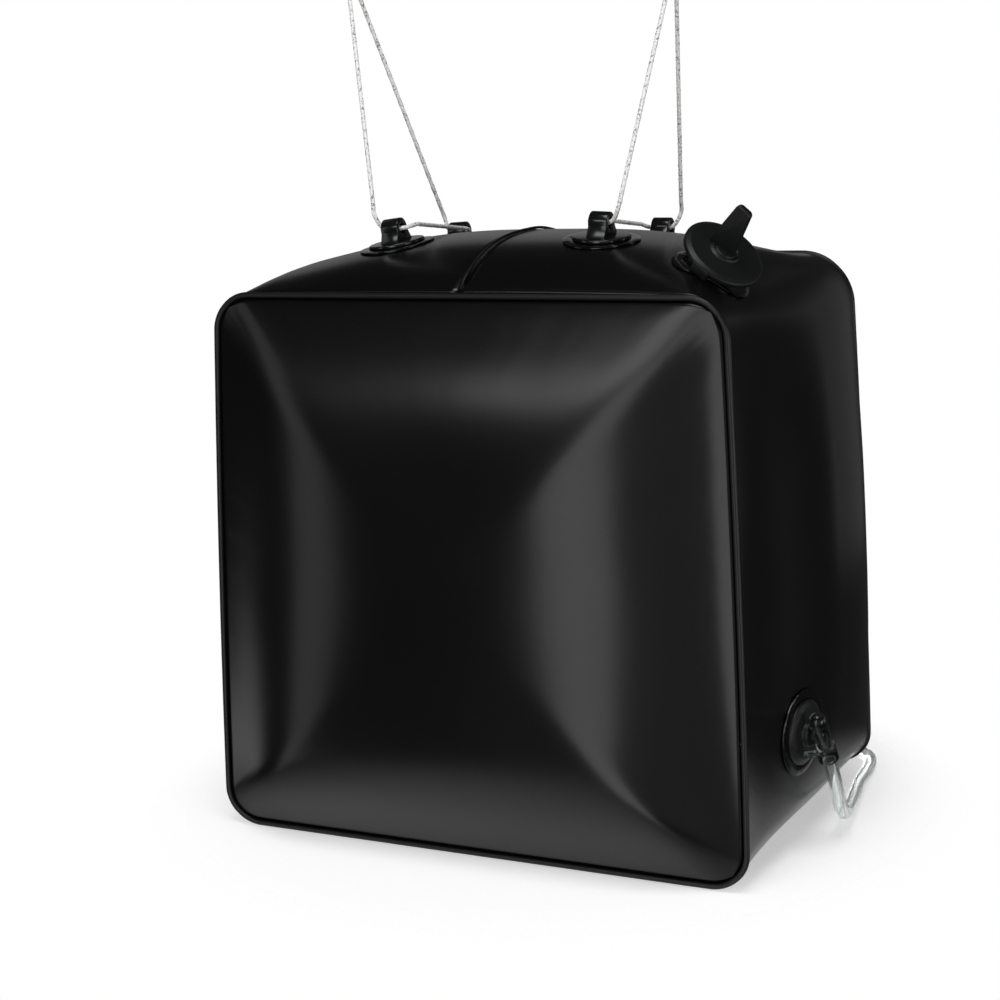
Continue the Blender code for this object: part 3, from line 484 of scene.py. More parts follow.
def elbow_seat():
    reach = PLATE_THICK + BOSS_HEIGHT + GAP + ELBOW_RADIUS + BOSS_RADIUS * math.sin(ELBOW_OUT)
    lean = Matrix.Rotation(-ELBOW_OUT, 4, "X") @ Matrix.Rotation(-ELBOW_BACK, 4, "Y")
    stand = Matrix.Rotation(-math.pi / 2, 4, "X")
    return outlet_seat() @ Matrix.Translation((0, 0, reach)) @ stand @ lean


def collar_seat():
    down = elbow_seat() @ Matrix.Translation((0, 0, -ELBOW_DROP - GAP))
    return down @ Matrix.Rotation(math.pi, 4, "X")


def head_seat():
    way = Vector((-1, 0, 0))
    up = Vector((0, 0, 1))
    return columns(up.cross(way), up, way, HEAD_PLACE)


# Shapes


def arc(x, y, radius, start, end, steps):
    """Points on an arc, with its angles in degrees."""
    angles = [math.radians(start + (end - start) * i / steps) for i in range(steps + 1)]
    return [(x + radius * math.cos(a), y + radius * math.sin(a)) for a in angles]


def smooth_route(points, spacing):
    """Evenly spaced points on a smooth curve through the given ones."""
    ends = [points[0] * 2 - points[1], *points, points[-1] * 2 - points[-2]]
    fine = []
    for a, b, c, d in zip(ends, ends[1:], ends[2:], ends[3:]):
        for i in range(ROUTE_STEPS):
            t = i / ROUTE_STEPS
            fine.append(
                (b * 2 + (c - a) * t + (a * 2 - b * 5 + c * 4 - d) * t ** 2
                 + (b * 3 - a - c * 3 + d) * t ** 3) / 2
            )
    fine.append(points[-1])
    return even_route(fine, spacing)


def even_route(fine, spacing):
    """The same line with its points evenly spaced."""
    lengths = [0]
    for a, b in zip(fine, fine[1:]):
        lengths.append(lengths[-1] + (b - a).length)
    count = max(2, round(lengths[-1] / spacing) + 1)
    even, at = [], 0
    for i in range(count):
        want = lengths[-1] * i / (count - 1)
        while at < len(fine) - 2 and lengths[at + 1] < want:
            at += 1
        share = (want - lengths[at]) / (lengths[at + 1] - lengths[at])
        even.append(fine[at].lerp(fine[at + 1], min(1, share)))
    return even


def route_length(points):
    return sum((b - a).length for a, b in zip(points, points[1:]))


def as_mesh(name, bm):
    mesh = bpy.data.meshes.new(name)
    bm.to_mesh(mesh)
    bm.free()
    return mesh


def new_object(name, data):
    obj = bpy.data.objects.new(name, data)
    bpy.context.scene.collection.objects.link(obj)
    return obj


def piece(look, name, bm, kind, replaces, body="bag", sharp=35, place=None, recalc=True):
    """Make a finished piece of a bmesh: placed, faced outwards, shaded and on its body."""
    if place:
        bmesh.ops.transform(bm, matrix=place, verts=bm.verts)
    if recalc:
        bmesh.ops.recalc_face_normals(bm, faces=bm.faces)
    limit = math.radians(sharp)
    for face in bm.faces:
        face.smooth = True
    for edge in bm.edges:
        edge.smooth = edge.calc_face_angle(0) < limit
    obj = new_object(name, as_mesh(name, bm))
    obj.data.materials.append(finish(look, kind))
    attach(obj, body)
    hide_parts(*replaces)
    return obj


def turned(profile, steps=72, closed=False):
    """A solid turned round Z from (radius, height) points."""
    bm = bmesh.new()
    verts = [bm.verts.new((radius, 0, height)) for radius, height in profile]
    edges = [bm.edges.new(pair) for pair in zip(verts, verts[1:])]
    if closed:
        edges.append(bm.edges.new((verts[-1], verts[0])))
    bmesh.ops.spin(
        bm, geom=verts + edges, cent=(0, 0, 0), axis=(0, 0, 1),
        angle=2 * math.pi, steps=steps, use_merge=True, use_duplicate=False,
    )
    bmesh.ops.remove_doubles(bm, verts=bm.verts, dist=MERGE_DISTANCE)
    return bm


def softened(profile, radius, steps=3, closed=False):
    """The same profile with its corners rounded; a corner on the axis stays."""
    count = len(profile)
    rounded = []
    for i, corner in enumerate(profile):
        here = Vector(corner)
        if not closed and i in (0, count - 1):
            rounded.append(tuple(here))
            continue
        before = Vector(profile[i - 1]) - here
        after = Vector(profile[(i + 1) % count]) - here
        cut = min(radius, 0.45 * before.length, 0.45 * after.length)
        start, end = here + before.normalized() * cut, here + after.normalized() * cut
        for k in range(steps + 1):
            t = k / steps
            bend = start * (1 - t) ** 2 + here * (2 * t * (1 - t)) + end * t * t
            rounded.append(tuple(bend))
    return rounded


def give_thickness(bm, thickness):
    """Raise a flat sheet's faces, with its new sides and faces outwards."""
    raised = bmesh.ops.extrude_face_region(bm, geom=list(bm.faces))["geom"]
    up = [item for item in raised if isinstance(item, bmesh.types.BMVert)]
    bmesh.ops.translate(bm, verts=up, vec=(0, 0, thickness))
    bmesh.ops.recalc_face_normals(bm, faces=bm.faces)


def bevelled(bm, edges, radius, segments):
    bmesh.ops.bevel(
        bm, geom=edges, offset=radius, offset_type="OFFSET", segments=segments,
        profile=0.5, affect="EDGES", clamp_overlap=True, material=-1,
    )
    return bm


def flat_plate(points, thickness, edge, segments=2):
    """A plate in the XY plane, centred on Z = 0, with its edges rounded."""
    bm = bmesh.new()
    bm.faces.new([bm.verts.new((x, y, -thickness / 2)) for x, y in points])
    give_thickness(bm, thickness)
    rim = [e for e in bm.edges if e.calc_face_angle(0) > math.radians(50)]
    return bevelled(bm, rim, edge, segments)


def pierced_plate(outer, middle, radius, thickness, edge):
    """A plate in the XY plane with one round hole, and its edges rounded."""
    bm = bmesh.new()
    turns = [2 * math.pi * i / HOLE_POINTS for i in range(HOLE_POINTS)]
    hole = [(middle[0] + radius * math.cos(a), middle[1] + radius * math.sin(a)) for a in turns]
    edges = []
    for points in (outer, hole):
        loop = [bm.verts.new((x, y, -thickness / 2)) for x, y in points]
        edges += [bm.edges.new((loop[i - 1], loop[i])) for i in range(len(loop))]
    bmesh.ops.triangle_fill(bm, edges=edges, use_beauty=True, use_dissolve=True)
    give_thickness(bm, thickness)
    flat = math.radians(60)
    rim = [
        e for e in bm.edges
        if e.calc_face_angle(0) > flat and abs(e.verts[0].co.z - e.verts[1].co.z) < thickness / 2
    ]
    return bevelled(bm, rim, edge, segments=3)


def gathered(*parts):
    """One bmesh of several."""
    whole = bmesh.new()
    for bm in parts:
        mesh = as_mesh("part", bm)
        whole.from_mesh(mesh)
        bpy.data.meshes.remove(mesh)
    return whole


def joined(*parts):
    """One bmesh of several (bmesh, matrix) pairs, each faced outwards and in its place."""
    for bm, matrix in parts:
        bmesh.ops.recalc_face_normals(bm, faces=bm.faces)
        bmesh.ops.transform(bm, matrix=matrix, verts=bm.verts)
    return gathered(*(bm for bm, matrix in parts))


def grid(across_steps, up_steps, place, flip=False):
    """A sheet whose points are placed by two shares from -1 to 1."""
    bm = bmesh.new()
    bmesh.ops.create_grid(bm, x_segments=across_steps, y_segments=up_steps, size=1)
    for vert in bm.verts:
        vert.co = place(vert.co.x, vert.co.y)
    if flip:
        bmesh.ops.reverse_faces(bm, faces=bm.faces)
    return bm


def swept(points, radius_at, around, closed=False, caps=True):
    """A tube along points; radius_at(distance, angle) gives its surface."""
    bm = bmesh.new()
    count = len(points)
    ways = []
    for i in range(count):
        if closed:
            ways.append((points[(i + 1) % count] - points[i - 1]).normalized())
        else:
            ways.append((points[min(i + 1, count - 1)] - points[max(i - 1, 0)]).normalized())
    side = ways[0].orthogonal().normalized()
    sides = [side]
    for a, b in zip(ways, ways[1:]):
        side = a.rotation_difference(b) @ side
        side = (side - b * side.dot(b)).normalized()
        sides.append(side)
    twist = 0
    if closed:
        last = ways[-1].rotation_difference(ways[0]) @ sides[-1]
        twist = math.atan2(last.cross(sides[0]).dot(ways[0]), last.dot(sides[0]))
    rings, distance = [], 0
    for i in range(count):
        if i:
            distance += (points[i] - points[i - 1]).length
        lift = ways[i].cross(sides[i])
        turn = twist * i / count
        ring = []
        for k in range(around):
            angle = 2 * math.pi * k / around
            out = sides[i] * math.cos(angle + turn) + lift * math.sin(angle + turn)
            ring.append(bm.verts.new(points[i] + out * radius_at(distance, angle)))
        rings.append(ring)
    pairs = list(zip(rings, rings[1:])) + ([(rings[-1], rings[0])] if closed else [])
    for a, b in pairs:
        for k in range(around):
            bm.faces.new((a[k - 1], a[k], b[k], b[k - 1]))
    if caps and not closed:
        bm.faces.new(rings[0][::-1])
        bm.faces.new(rings[-1])
    return bm


# Materials


class Value:
    """A socket of a material's nodes that takes part in sums."""

    def __init__(self, tree, socket):
        self.tree = tree
        self.socket = socket

    def sum(self, operation, first, second):
        node = self.tree.nodes.new("ShaderNodeMath")
        node.operation = operation
        for slot, value in zip(node.inputs, (first, second)):
            link(self.tree, slot, value)
        return Value(self.tree, node.outputs[0])

    def __add__(self, other):
        return self.sum("ADD", self, other)

    def __radd__(self, other):
        return self.sum("ADD", other, self)

    def __sub__(self, other):
        return self.sum("SUBTRACT", self, other)

    def __rsub__(self, other):
        return self.sum("SUBTRACT", other, self)

    def __mul__(self, other):
        return self.sum("MULTIPLY", self, other)

    def __rmul__(self, other):
        return self.sum("MULTIPLY", other, self)


def link(tree, slot, value):
    if isinstance(value, Value):
        tree.links.new(value.socket, slot)
    else:
        slot.default_value = value


class Paint:
    """A material under construction."""

    def __init__(self, name, colour, roughness, **constants):
        self.material = bpy.data.materials.new(name)
        self.material.use_nodes = True
        self.tree = self.material.node_tree
        self.shader = self.tree.nodes["Principled BSDF"]
        self.set("Base Color", (*colour, 1))
        self.set("Roughness", roughness)
        for name, value in constants.items():
            self.set(name.replace("_", " "), value)

    def set(self, name, value):
        link(self.tree, self.shader.inputs[name], value)

    def node(self, kind, settings=None, values=None, output=0, **inputs):
        """Any node: its type, its settings, and its inputs by number or by name."""
        node = self.tree.nodes.new(kind)
        for name, value in (settings or {}).items():
            setattr(node, name, value)
        for number, value in (values or {}).items():
            link(self.tree, node.inputs[number], value)
        for name, value in inputs.items():
            link(self.tree, node.inputs[name.replace("_", " ")], value)
        return Value(self.tree, node.outputs[output])

    def place(self):
        return self.node("ShaderNodeTexCoord", output="Object")

    def noise(self, scale, detail=2.0):
        return self.node("ShaderNodeTexNoise", Vector=self.place(), Scale=scale, Detail=detail)

    def bump(self, height, distance, strength=1.0):
        bump = self.node("ShaderNodeBump", Height=height, Distance=distance, Strength=strength)
        self.set("Normal", bump)


def black_film(look):
    paint = Paint("film finish", look.film_colour, look.film_roughness, Specular_IOR_Level=0.35)
    unevenness = 0.10
    patches = paint.noise(scale=7.0, detail=3.0) * unevenness
    paint.set("Roughness", look.film_roughness - unevenness / 2 + patches)
    grain = paint.noise(scale=1400.0) * 0.6 + paint.noise(scale=160.0, detail=3.0)
    paint.bump(grain, distance=0.00004, strength=0.5)
    return paint.material


def black_patch(look):
    paint = Paint("patch finish", look.film_colour, 0.13)
    paint.bump(paint.noise(scale=110.0, detail=3.0), distance=0.0009, strength=0.6)
    return paint.material


def black_welt(look):
    paint = Paint("welt finish", look.welt_colour, 0.42, Specular_IOR_Level=0.35)
    paint.bump(paint.noise(scale=700.0), distance=0.00005, strength=0.5)
    return paint.material


def black_moulding(look):
    paint = Paint("moulding finish", look.moulding_colour, 0.22)
    paint.set("Roughness", 0.08 + paint.noise(scale=40.0) * 0.14)
    return paint.material


def soft_moulding(look):
    paint = Paint("soft moulding finish", look.moulding_colour, 0.42, Specular_IOR_Level=0.3)
    paint.bump(paint.noise(scale=900.0), distance=0.00003, strength=0.5)
    return paint.material


def clear_moulding(look):
    return Paint(
        "clear moulding finish", (0.36, 0.39, 0.39), 0.02, Transmission_Weight=1.0, IOR=1.08,
        Coat_Weight=0.7, Coat_IOR=1.5, Coat_Roughness=0.015,
    ).material


def clear_hose(look):
    return Paint(
        "hose finish", (0.93, 0.95, 0.95), 0.05, Transmission_Weight=1.0, IOR=1.12,
        Coat_Weight=1.0, Coat_IOR=1.5, Coat_Roughness=0.04,
    ).material


def white_rope(look):
    paint = Paint("rope finish", look.rope_colour, 0.7, Sheen_Weight=0.3)
    dull = [0.26 * value for value in look.rope_colour]
    contrast, threshold = 6.0, 1.8
    white = paint.noise(scale=620.0, detail=1.0) * contrast - threshold
    mixed = paint.node(
        "ShaderNodeMix", {"data_type": "RGBA"},
        {0: white, 6: (*dull, 1), 7: (*look.rope_colour, 1)}, output=2,
    )
    paint.set("Base Color", mixed)
    return paint.material


def grey_rubber(look):
    return Paint("rubber finish", (0.16, 0.16, 0.16), 0.6).material


def grey_plate(look):
    return Paint("plate finish", look.plate_colour, 0.35).material


FINISHES = {
    "film": black_film,
    "patch": black_patch,
    "welt": black_welt,
    "moulding": black_moulding,
    "soft moulding": soft_moulding,
    "clear moulding": clear_moulding,
    "hose": clear_hose,
    "rope": white_rope,
    "rubber": grey_rubber,
    "plate": grey_plate,
}


def finish(look, name):
    """A named finish, made the first time it is asked for."""
    return bpy.data.materials.get(f"{name} finish") or FINISHES[name](look)


# Film and seams


def panel_point(a, b, facing, crown):
    """A point of the front or back film, its share of the way out and its place along the seam."""
    ring = max(abs(a), abs(b), TINY)
    if abs(a) >= abs(b):
        side, along = (RIGHT, b / ring) if a > 0 else (LEFT, -b / ring)
    else:
        side, along = (TOP, -a / ring) if b > 0 else (BOTTOM, a / ring)
    x, z = outline(side, along, facing, -(WELT_RADIUS + GAP))
    power = CROWN_POWER - CROWN_SIDE_POWER * a / ring
    power += CROWN_BOTTOM_POWER * max(0, -b / ring) ** 2
    height = crown * (1 - ring ** power) ** CROWN_ROUNDING
    place = Vector((x * ring, facing * (HALF_DEPTH + height), MIDDLE + (z - MIDDLE) * ring))
    return place, ring, side * 2 + along


def pucker(seam, inward, seed):
    """The small gathers that a welded seam draws into the film beside it."""
    drawn = 0
    for share, along, beside, shift in GATHERS:
        drawn += share * noise.noise(Vector((seam * along, inward * beside, seed + shift)))
    return drawn * math.exp(-inward / GATHER_REACH) * smooth(inward, 0, GATHER_START)


def dent(point, seed):
    """The slow unevenness of a filled film."""
    return noise.noise(point * DENT_PITCH + Vector((seed, seed, seed)))


def seam_lean(a, b, inward):
    """The film leaves its seam steeper at the top and flatter at the right."""
    ring = max(abs(a), abs(b), TINY)
    steeper = TOP_STEEPER * smooth((b - abs(a)) / ring, *LEAN_CORNER_SHARES)
    flatter = RIGHT_FLATTER * smooth((a - abs(b)) / ring, *LEAN_CORNER_SHARES)
    reach = inward / LEAN_REACH
    return (steeper - flatter) * reach * math.exp(1 - reach)


def eased(bm, rounds):
    """The sheet with its ridges rounded and its border kept."""
    inner = [vert for vert in bm.verts if not vert.is_boundary]
    for _ in range(rounds):
        bmesh.ops.smooth_vert(
            bm, verts=inner, factor=0.5, use_axis_x=True, use_axis_y=True, use_axis_z=True,
        )
    return bm


def add_film_panel(look, name, facing, crown, seed, node):
    seams = []

    def place(a, b):
        point, ring, seam = panel_point(a, b, facing, crown)
        inward = (1 - ring) * TOP_WIDTH / 2
        seams.append((inward, seam, seam_lean(a, b, inward)))
        return point

    sheet = grid(PANEL_STEPS, PANEL_STEPS, place, flip=facing < 0)
    bm = eased(sheet, PANEL_EASING_ROUNDS)
    for vert, (inward, seam, lean) in zip(bm.verts, seams):
        wave = lean + look.pucker_depth * pucker(seam, inward, seed)
        wave += look.dent_depth * dent(vert.co, seed) * smooth(inward, DENT_START, PANEL_DENT_FULL)
        vert.co.y += facing * wave
    thicken(piece(look, name, bm, "film", [node], sharp=60, recalc=False))


def thicken(obj):
    wall = obj.modifiers.new("wall", "SOLIDIFY")
    wall.thickness = FILM
    wall.offset = 0


def fitting_mask(point, fittings):
    """0 under a fitting's ring of film and 1 clear of it."""
    return min(
        smooth((point - middle).length, reach, reach + FLAT_EDGE) for middle, reach in fittings
    )


def add_gusset_film(look):
    edge_share = 1 - (WELT_RADIUS + GAP) / HALF_DEPTH
    fittings = [(lug_seat(name).translation, LUG_FLAT_RADIUS) for name in LUGS]
    fittings.append((filler_seat().translation, FILLER_FLAT_RADIUS))
    fittings.append((outlet_seat().translation, OUTLET_FLAT_RADIUS))

    def place(a, b):
        turn = (a + 1) * 2
        side = (TOP, LEFT, BOTTOM, RIGHT, TOP)[min(4, int(turn + 0.5))]
        along = (turn + 0.5) % 1 * 2 - 1
        depth = b * edge_share
        point = gusset_point(side, along, depth)
        if side != BOTTOM:
            from_seam = (1 - abs(depth)) * HALF_DEPTH
            seam = side * 2 + along + (BACK_SEAM_SHIFT if depth > 0 else 0)
            wave = look.pucker_depth * pucker(seam, from_seam, GUSSET_GATHER_SEED)
            dents = look.dent_depth * dent(point, GUSSET_DENT_SEED)
            wave += dents * smooth(from_seam, DENT_START, GUSSET_DENT_FULL)
            wave *= fitting_mask(point, fittings)
            if side in (RIGHT, LEFT):
                wave *= smooth(along if side == RIGHT else -along, *LOW_CALM_SHARES)
            point += gusset_axes(side, along, depth)[0].col[2].xyz * wave
        if abs(a) > 1 - SHARE_TOLERANCE:
            point.x = math.copysign(GAP / 2, a)
        return point

    bm = grid(4 * SIDE_STEPS, DEPTH_STEPS, place)
    film = piece(look, "gusset_film", bm, "film", ["gusset"], sharp=60, recalc=False)
    thicken(film)
    open_film(film, (
        (filler_seat(), NECK_RADIUS + GAP),
        (outlet_seat(), STEM_RADIUS + GAP),
    ))


def open_film(film, holes):
    """Cut the film for what passes through it."""
    cutters = bmesh.new()
    for seat, radius in holes:
        bmesh.ops.create_cone(
            cutters, cap_ends=True, segments=64, radius1=radius, radius2=radius,
            depth=4 * radius, matrix=seat,
        )
    cutter = new_object("holes", as_mesh("holes", cutters))
    cut = film.modifiers.new("holes", "BOOLEAN")
    cut.operation = "DIFFERENCE"
    cut.solver = "EXACT"
    cut.object = cutter
    bpy.context.view_layer.update()
    graph = bpy.context.evaluated_depsgraph_get()
    solid = bpy.data.meshes.new_from_object(film.evaluated_get(graph))
    film.modifiers.clear()
    film.data = solid
    bpy.data.objects.remove(cutter)


def add_welts(look):
    for name, facing, node in (
        ("front_piping", -1, "front_welt"), ("back_piping", 1, "back_welt"),
    ):
        points = []
        for side in (BOTTOM, RIGHT, TOP, LEFT):
            for i in range(WELT_STEPS):
                x, z = outline(side, i / WELT_STEPS * 2 - 1, facing, 0)
                points.append(Vector((x, facing * HALF_DEPTH, z)))

        def radius(distance, angle):
            uneven = noise.noise(Vector((distance * WELT_PITCH, angle, facing)))
            return WELT_RADIUS - WELT_UNEVENNESS * (1 + uneven)

        bm = swept(points, radius, around=16, closed=True)
        piece(look, name, bm, "welt", [node], sharp=80)


def add_top_seam(look):
    """The raised seam over the two ends of the gusset, with its welded bead."""
    reach = 1 - (2 * WELT_RADIUS + GAP) / HALF_DEPTH
    length = 2 * reach * HALF_DEPTH

    def flat_end(distance):
        risen = smooth(min(distance, length - distance), 0, TOP_SEAM_RUN_OUT)
        return TOP_SEAM_END_SHARE + (1 - TOP_SEAM_END_SHARE) * risen

    points = []
    for i in range(TOP_SEAM_STEPS + 1):
        share = i / TOP_SEAM_STEPS
        axes = gusset_axes(TOP, 0, (2 * share - 1) * reach)[0]
        raised = TOP_WELT_RADIUS * TOP_SEAM_RAISED_SHARE * flat_end(share * length)
        points.append(axes @ Vector((0, 0, FILM_OUTSIDE + raised)))

    def radius(distance, angle):
        uneven = noise.noise(Vector((distance * BEAD_PITCH, angle, 2)))
        bead = BEAD_SHARE + BEAD_UNEVEN_SHARE * uneven
        return TOP_WELT_RADIUS * bead * flat_end(distance)

    piece(look, "top_seam", swept(points, radius, around=14), "welt", ["top_seam_welt"], sharp=80)


# Fittings


def add_ring_patch(look, name, side, shares, inner, outer, thick, node):
    """A welded ring of film that follows the gusset round a fitting, with its edges rounded."""
    low, high = FILM_OUTSIDE, FILM_OUTSIDE + thick
    profile = softened(
        [(outer, high), (outer, low), (inner, low), (inner, high)],
        RING_EDGE_SHARE * thick, steps=2, closed=True,
    )
    fine = []
    for (r0, z0), (r1, z1) in zip(profile, profile[1:] + profile[:1]):
        parts = max(1, round(abs(r1 - r0) / RING_STEP))
        fine += [(r0 + (r1 - r0) * i / parts, z0 + (z1 - z0) * i / parts) for i in range(parts)]
    bm = turned(fine, steps=64, closed=True)
    for vert in bm.verts:
        x, y, z = vert.co
        axes = gusset_axes(side, *gusset_beside(side, *shares, x, y))[0]
        vert.co = axes @ Vector((0, 0, z))
    piece(look, name, bm, "patch", [node], sharp=45)


def upright():
    """The turn that stands a plate up, with its outline's Y upwards."""
    return Matrix.Rotation(math.pi / 2, 4, "Z") @ Matrix.Rotation(math.pi / 2, 4, "X")


def add_lug(look, name):
    add_ring_patch(
        look, f"{name}_patch", TOP, lug_place(name), LUG_BASE + GAP, LUG_RING_RADIUS,
        LUG_RING_THICK, f"{name}_lug_patch",
    )
    base = turned(softened([
        (0, LUG_BASE_THICK),
        (LUG_BASE, LUG_BASE_THICK),
        (LUG_BASE, 0),
        (0, 0),
    ], LUG_BASE_EDGE))
    hole_height = LUG_HEIGHT - LUG_TOP
    foot = LUG_FOOT_LENGTH / 2
    outer = arc(0, hole_height, LUG_TOP, -LUG_TOP_WRAP, 180 + LUG_TOP_WRAP, 28)
    outer += [(-foot, LUG_BASE_THICK / 2), (foot, LUG_BASE_THICK / 2)]
    tab = pierced_plate(outer, (0, hole_height), LUG_HOLE_RADIUS, LUG_WIDTH, LUG_TAB_EDGE)
    piece(
        look, f"{name}_eye", joined((base, Matrix.Identity(4)), (tab, upright())), "moulding",
        [f"{name}_lug"], place=lug_seat(name), sharp=40, recalc=False,
    )


def hinge_seat():
    return filler_seat() @ Matrix.Translation((0, -HINGE_REACH, NECK_RISE + GAP + CAP_THICK))


def add_filler(look):
    add_ring_patch(
        look, "filler_collar_film", TOP, FILLER_SHARES, FILLER_RING_INNER, FILLER_RING_RADIUS,
        FILLER_RING_THICK, "filler_flange",
    )
    neck = turned(softened([
        (NECK_RADIUS, NECK_RISE),
        (NECK_RADIUS, -NECK_DEPTH),
        (BORE_RADIUS, -NECK_DEPTH),
        (BORE_RADIUS, NECK_RISE),
    ], NECK_EDGE, closed=True), steps=80, closed=True)
    piece(look, "filler_spout", neck, "soft moulding", ["filler_neck"], place=filler_seat())
    inner, outer = -(NECK_RADIUS + GAP), -HINGE_REACH - STRAP_THICK / 2
    high = NECK_RISE + GAP + CAP_THICK
    strap = flat_plate([
        (inner, NECK_RISE - STRAP_THICK),
        (inner, NECK_RISE),
        (outer + STRAP_THICK, NECK_RISE),
        (outer + STRAP_THICK, high),
        (outer, high),
        (outer, NECK_RISE - STRAP_THICK),
    ], STRAP_WIDTH, STRAP_EDGE)
    piece(
        look, "cap_strap", strap, "soft moulding", ["filler_cap_strap"],
        place=filler_seat() @ upright(), sharp=45,
    )


def cap_disc():
    """The cap's round body, from its hub over its rim to the hollow plug underneath."""
    under = -CAP_THICK
    plug = BORE_RADIUS - GAP
    tip = plug - PLUG_TAPER
    groove_heights = (HUB_HEIGHT, HUB_GROOVE_FLOOR, HUB_GROOVE_FLOOR, HUB_HEIGHT)
    return turned(softened([
        (0, HUB_HEIGHT),
        *zip(HUB_GROOVE_RADII, groove_heights),
        (HUB_RADIUS, 0),
        (CAP_RADIUS - CAP_SLOPE_WIDTH, 0),
        (CAP_RADIUS - CAP_STEP_WIDTH, -CAP_STEP_DEPTH),
        (CAP_RADIUS, -CAP_RIM_DEPTH),
        (CAP_RADIUS, under),
        (plug, under),
        (tip, under - PLUG_LENGTH),
        (tip - PLUG_WALL, under - PLUG_LENGTH),
        (tip - PLUG_WALL, under + PLUG_WALL),
        (0, under + PLUG_WALL),
    ], CAP_EDGE), steps=96)


def cap_grip():
    """The cap's finger grip, tapered to a round tip."""
    half_root = GRIP_ROOT_WIDTH / 2
    side = GRIP_TIP_WIDTH / 2 - GRIP_TIP_RADIUS
    top = GRIP_LENGTH + CAP_THICK / 2 - GRIP_TIP_RADIUS
    return flat_plate([
        (half_root, 0),
        *arc(GRIP_TIP_SHIFT + side, top, GRIP_TIP_RADIUS, 0, 90, 8),
        *arc(GRIP_TIP_SHIFT - side, top, GRIP_TIP_RADIUS, 90, 180, 8),
        (-half_root, 0),
    ], GRIP_THICK, GRIP_EDGE, segments=3)


def add_cap(look):
    root = Matrix.Translation((GRIP_ROOT_X, HINGE_REACH, -CAP_THICK / 2))
    bm = joined(
        (cap_disc(), Matrix.Translation((0, HINGE_REACH, 0))),
        (cap_grip(), root @ Matrix.Rotation(math.pi / 2, 4, "X")),
    )
    piece(
        look, "cap", bm, "soft moulding", ["filler_cap"], body="cap",
        place=hinge_seat(), sharp=40, recalc=False,
    )


def add_outlet(look):
    add_ring_patch(
        look, "outlet_ring", RIGHT, outlet_place(), PLATE_RADIUS + GAP, OUTLET_RING_RADIUS,
        OUTLET_RING_THICK, "outlet_patch",
    )
    plate = turned(softened([
        (0, PLATE_THICK + BOSS_HEIGHT),
        (BOSS_RADIUS, PLATE_THICK + BOSS_HEIGHT),
        (BOSS_RADIUS, PLATE_THICK),
        (PLATE_RADIUS - PLATE_SLOPE_WIDTH, PLATE_THICK),
        (PLATE_RADIUS, PLATE_THICK * PLATE_RIM_SHARE),
        (PLATE_RADIUS, 0),
        (STEM_RADIUS, 0),
        (STEM_RADIUS, -STEM_LENGTH),
        (0, -STEM_LENGTH),
    ], PLATE_EDGE), steps=80)
    piece(look, "outlet_disc", plate, "soft moulding", ["outlet_plate"], place=outlet_seat())


def add_elbow(look):
    low = PLATE_THICK + BOSS_HEIGHT + GAP
    dome = [
        (radius, height + ELBOW_RISE - ELBOW_RADIUS)
        for radius, height in reversed(arc(0, 0, ELBOW_RADIUS, 0, 90, 12))
    ]
    below = softened([
        (ELBOW_RADIUS, ELBOW_BORE_TIP),
        (ELBOW_RADIUS, -ELBOW_STEP_HEIGHT),
        (ELBOW_RADIUS - ELBOW_STEP, -ELBOW_STEP_HEIGHT),
        (ELBOW_RADIUS - ELBOW_STEP, -ELBOW_DROP),
        (ELBOW_BORE, -ELBOW_DROP),
        (ELBOW_BORE, ELBOW_BORE_SHOULDER),
        (0, ELBOW_BORE_TIP),
    ], ELBOW_EDGE)
    barrel = turned(dome + below[1:], steps=64)
    inlet = turned([(ELBOW_INLET, low + ELBOW_INLET), (ELBOW_INLET, low), (0, low)], steps=48)
    bm = joined((barrel, elbow_seat()), (inlet, outlet_seat()))
    piece(look, "elbow", bm, "clear moulding", ["outlet_elbow"], sharp=40, recalc=False)


def add_head(look):
    seat = head_seat()
    grip = [
        (0, SPIGOT_LENGTH),
        (SPIGOT_RADIUS, SPIGOT_LENGTH),
        (SPIGOT_RADIUS, -GAP),
        (VALVE_RADIUS, -GAP),
    ]
    groove = list(zip(GROOVE_DEPTHS, GROOVE_PLACES))
    for i in range(GROOVE_COUNT):
        start = GROOVE_START + i * GROOVE_PITCH
        grip += [(VALVE_RADIUS - deep, -start - on) for deep, on in groove]
    grip += [
        (VALVE_RADIUS, VALVE_TAPER - VALVE_LENGTH),
        (HOSE_RADIUS, -VALVE_LENGTH),
        (0, -VALVE_LENGTH),
    ]
    stem = turned(softened(grip, VALVE_EDGE, steps=2), steps=64)
    valve = piece(look, "head_valve", stem, "moulding", ["shower_head_valve"], place=seat)
    face = ROSE_RADIUS - ROSE_WALL
    floor = ROSE_LENGTH - SPRAY_THICK - GAP
    cup = turned(softened([
        (0, floor),
        (face + GAP, floor),
        (face + GAP, ROSE_LENGTH),
        (ROSE_RADIUS, ROSE_LENGTH),
        (ROSE_RADIUS, ROSE_LENGTH - ROSE_RIM),
        (ROSE_NECK + ROSE_SHOULDER_OUT, ROSE_RIM + ROSE_SHOULDER_RISE),
        (ROSE_NECK, ROSE_RIM),
        (ROSE_NECK, 0),
        (SPIGOT_RADIUS + GAP, 0),
        (SPIGOT_RADIUS + GAP, SPIGOT_LENGTH + GAP),
        (0, SPIGOT_LENGTH + GAP),
    ], ROSE_EDGE), steps=80)
    rose = piece(look, "rose", cup, "moulding", ["shower_rose"], body="rose", place=seat)
    spray = piece(
        look, "spray_face", spray_plate(face, floor + GAP), "plate", ["spray_plate"],
        body="rose", place=seat, sharp=40, recalc=False,
    )
    return valve, rose, spray


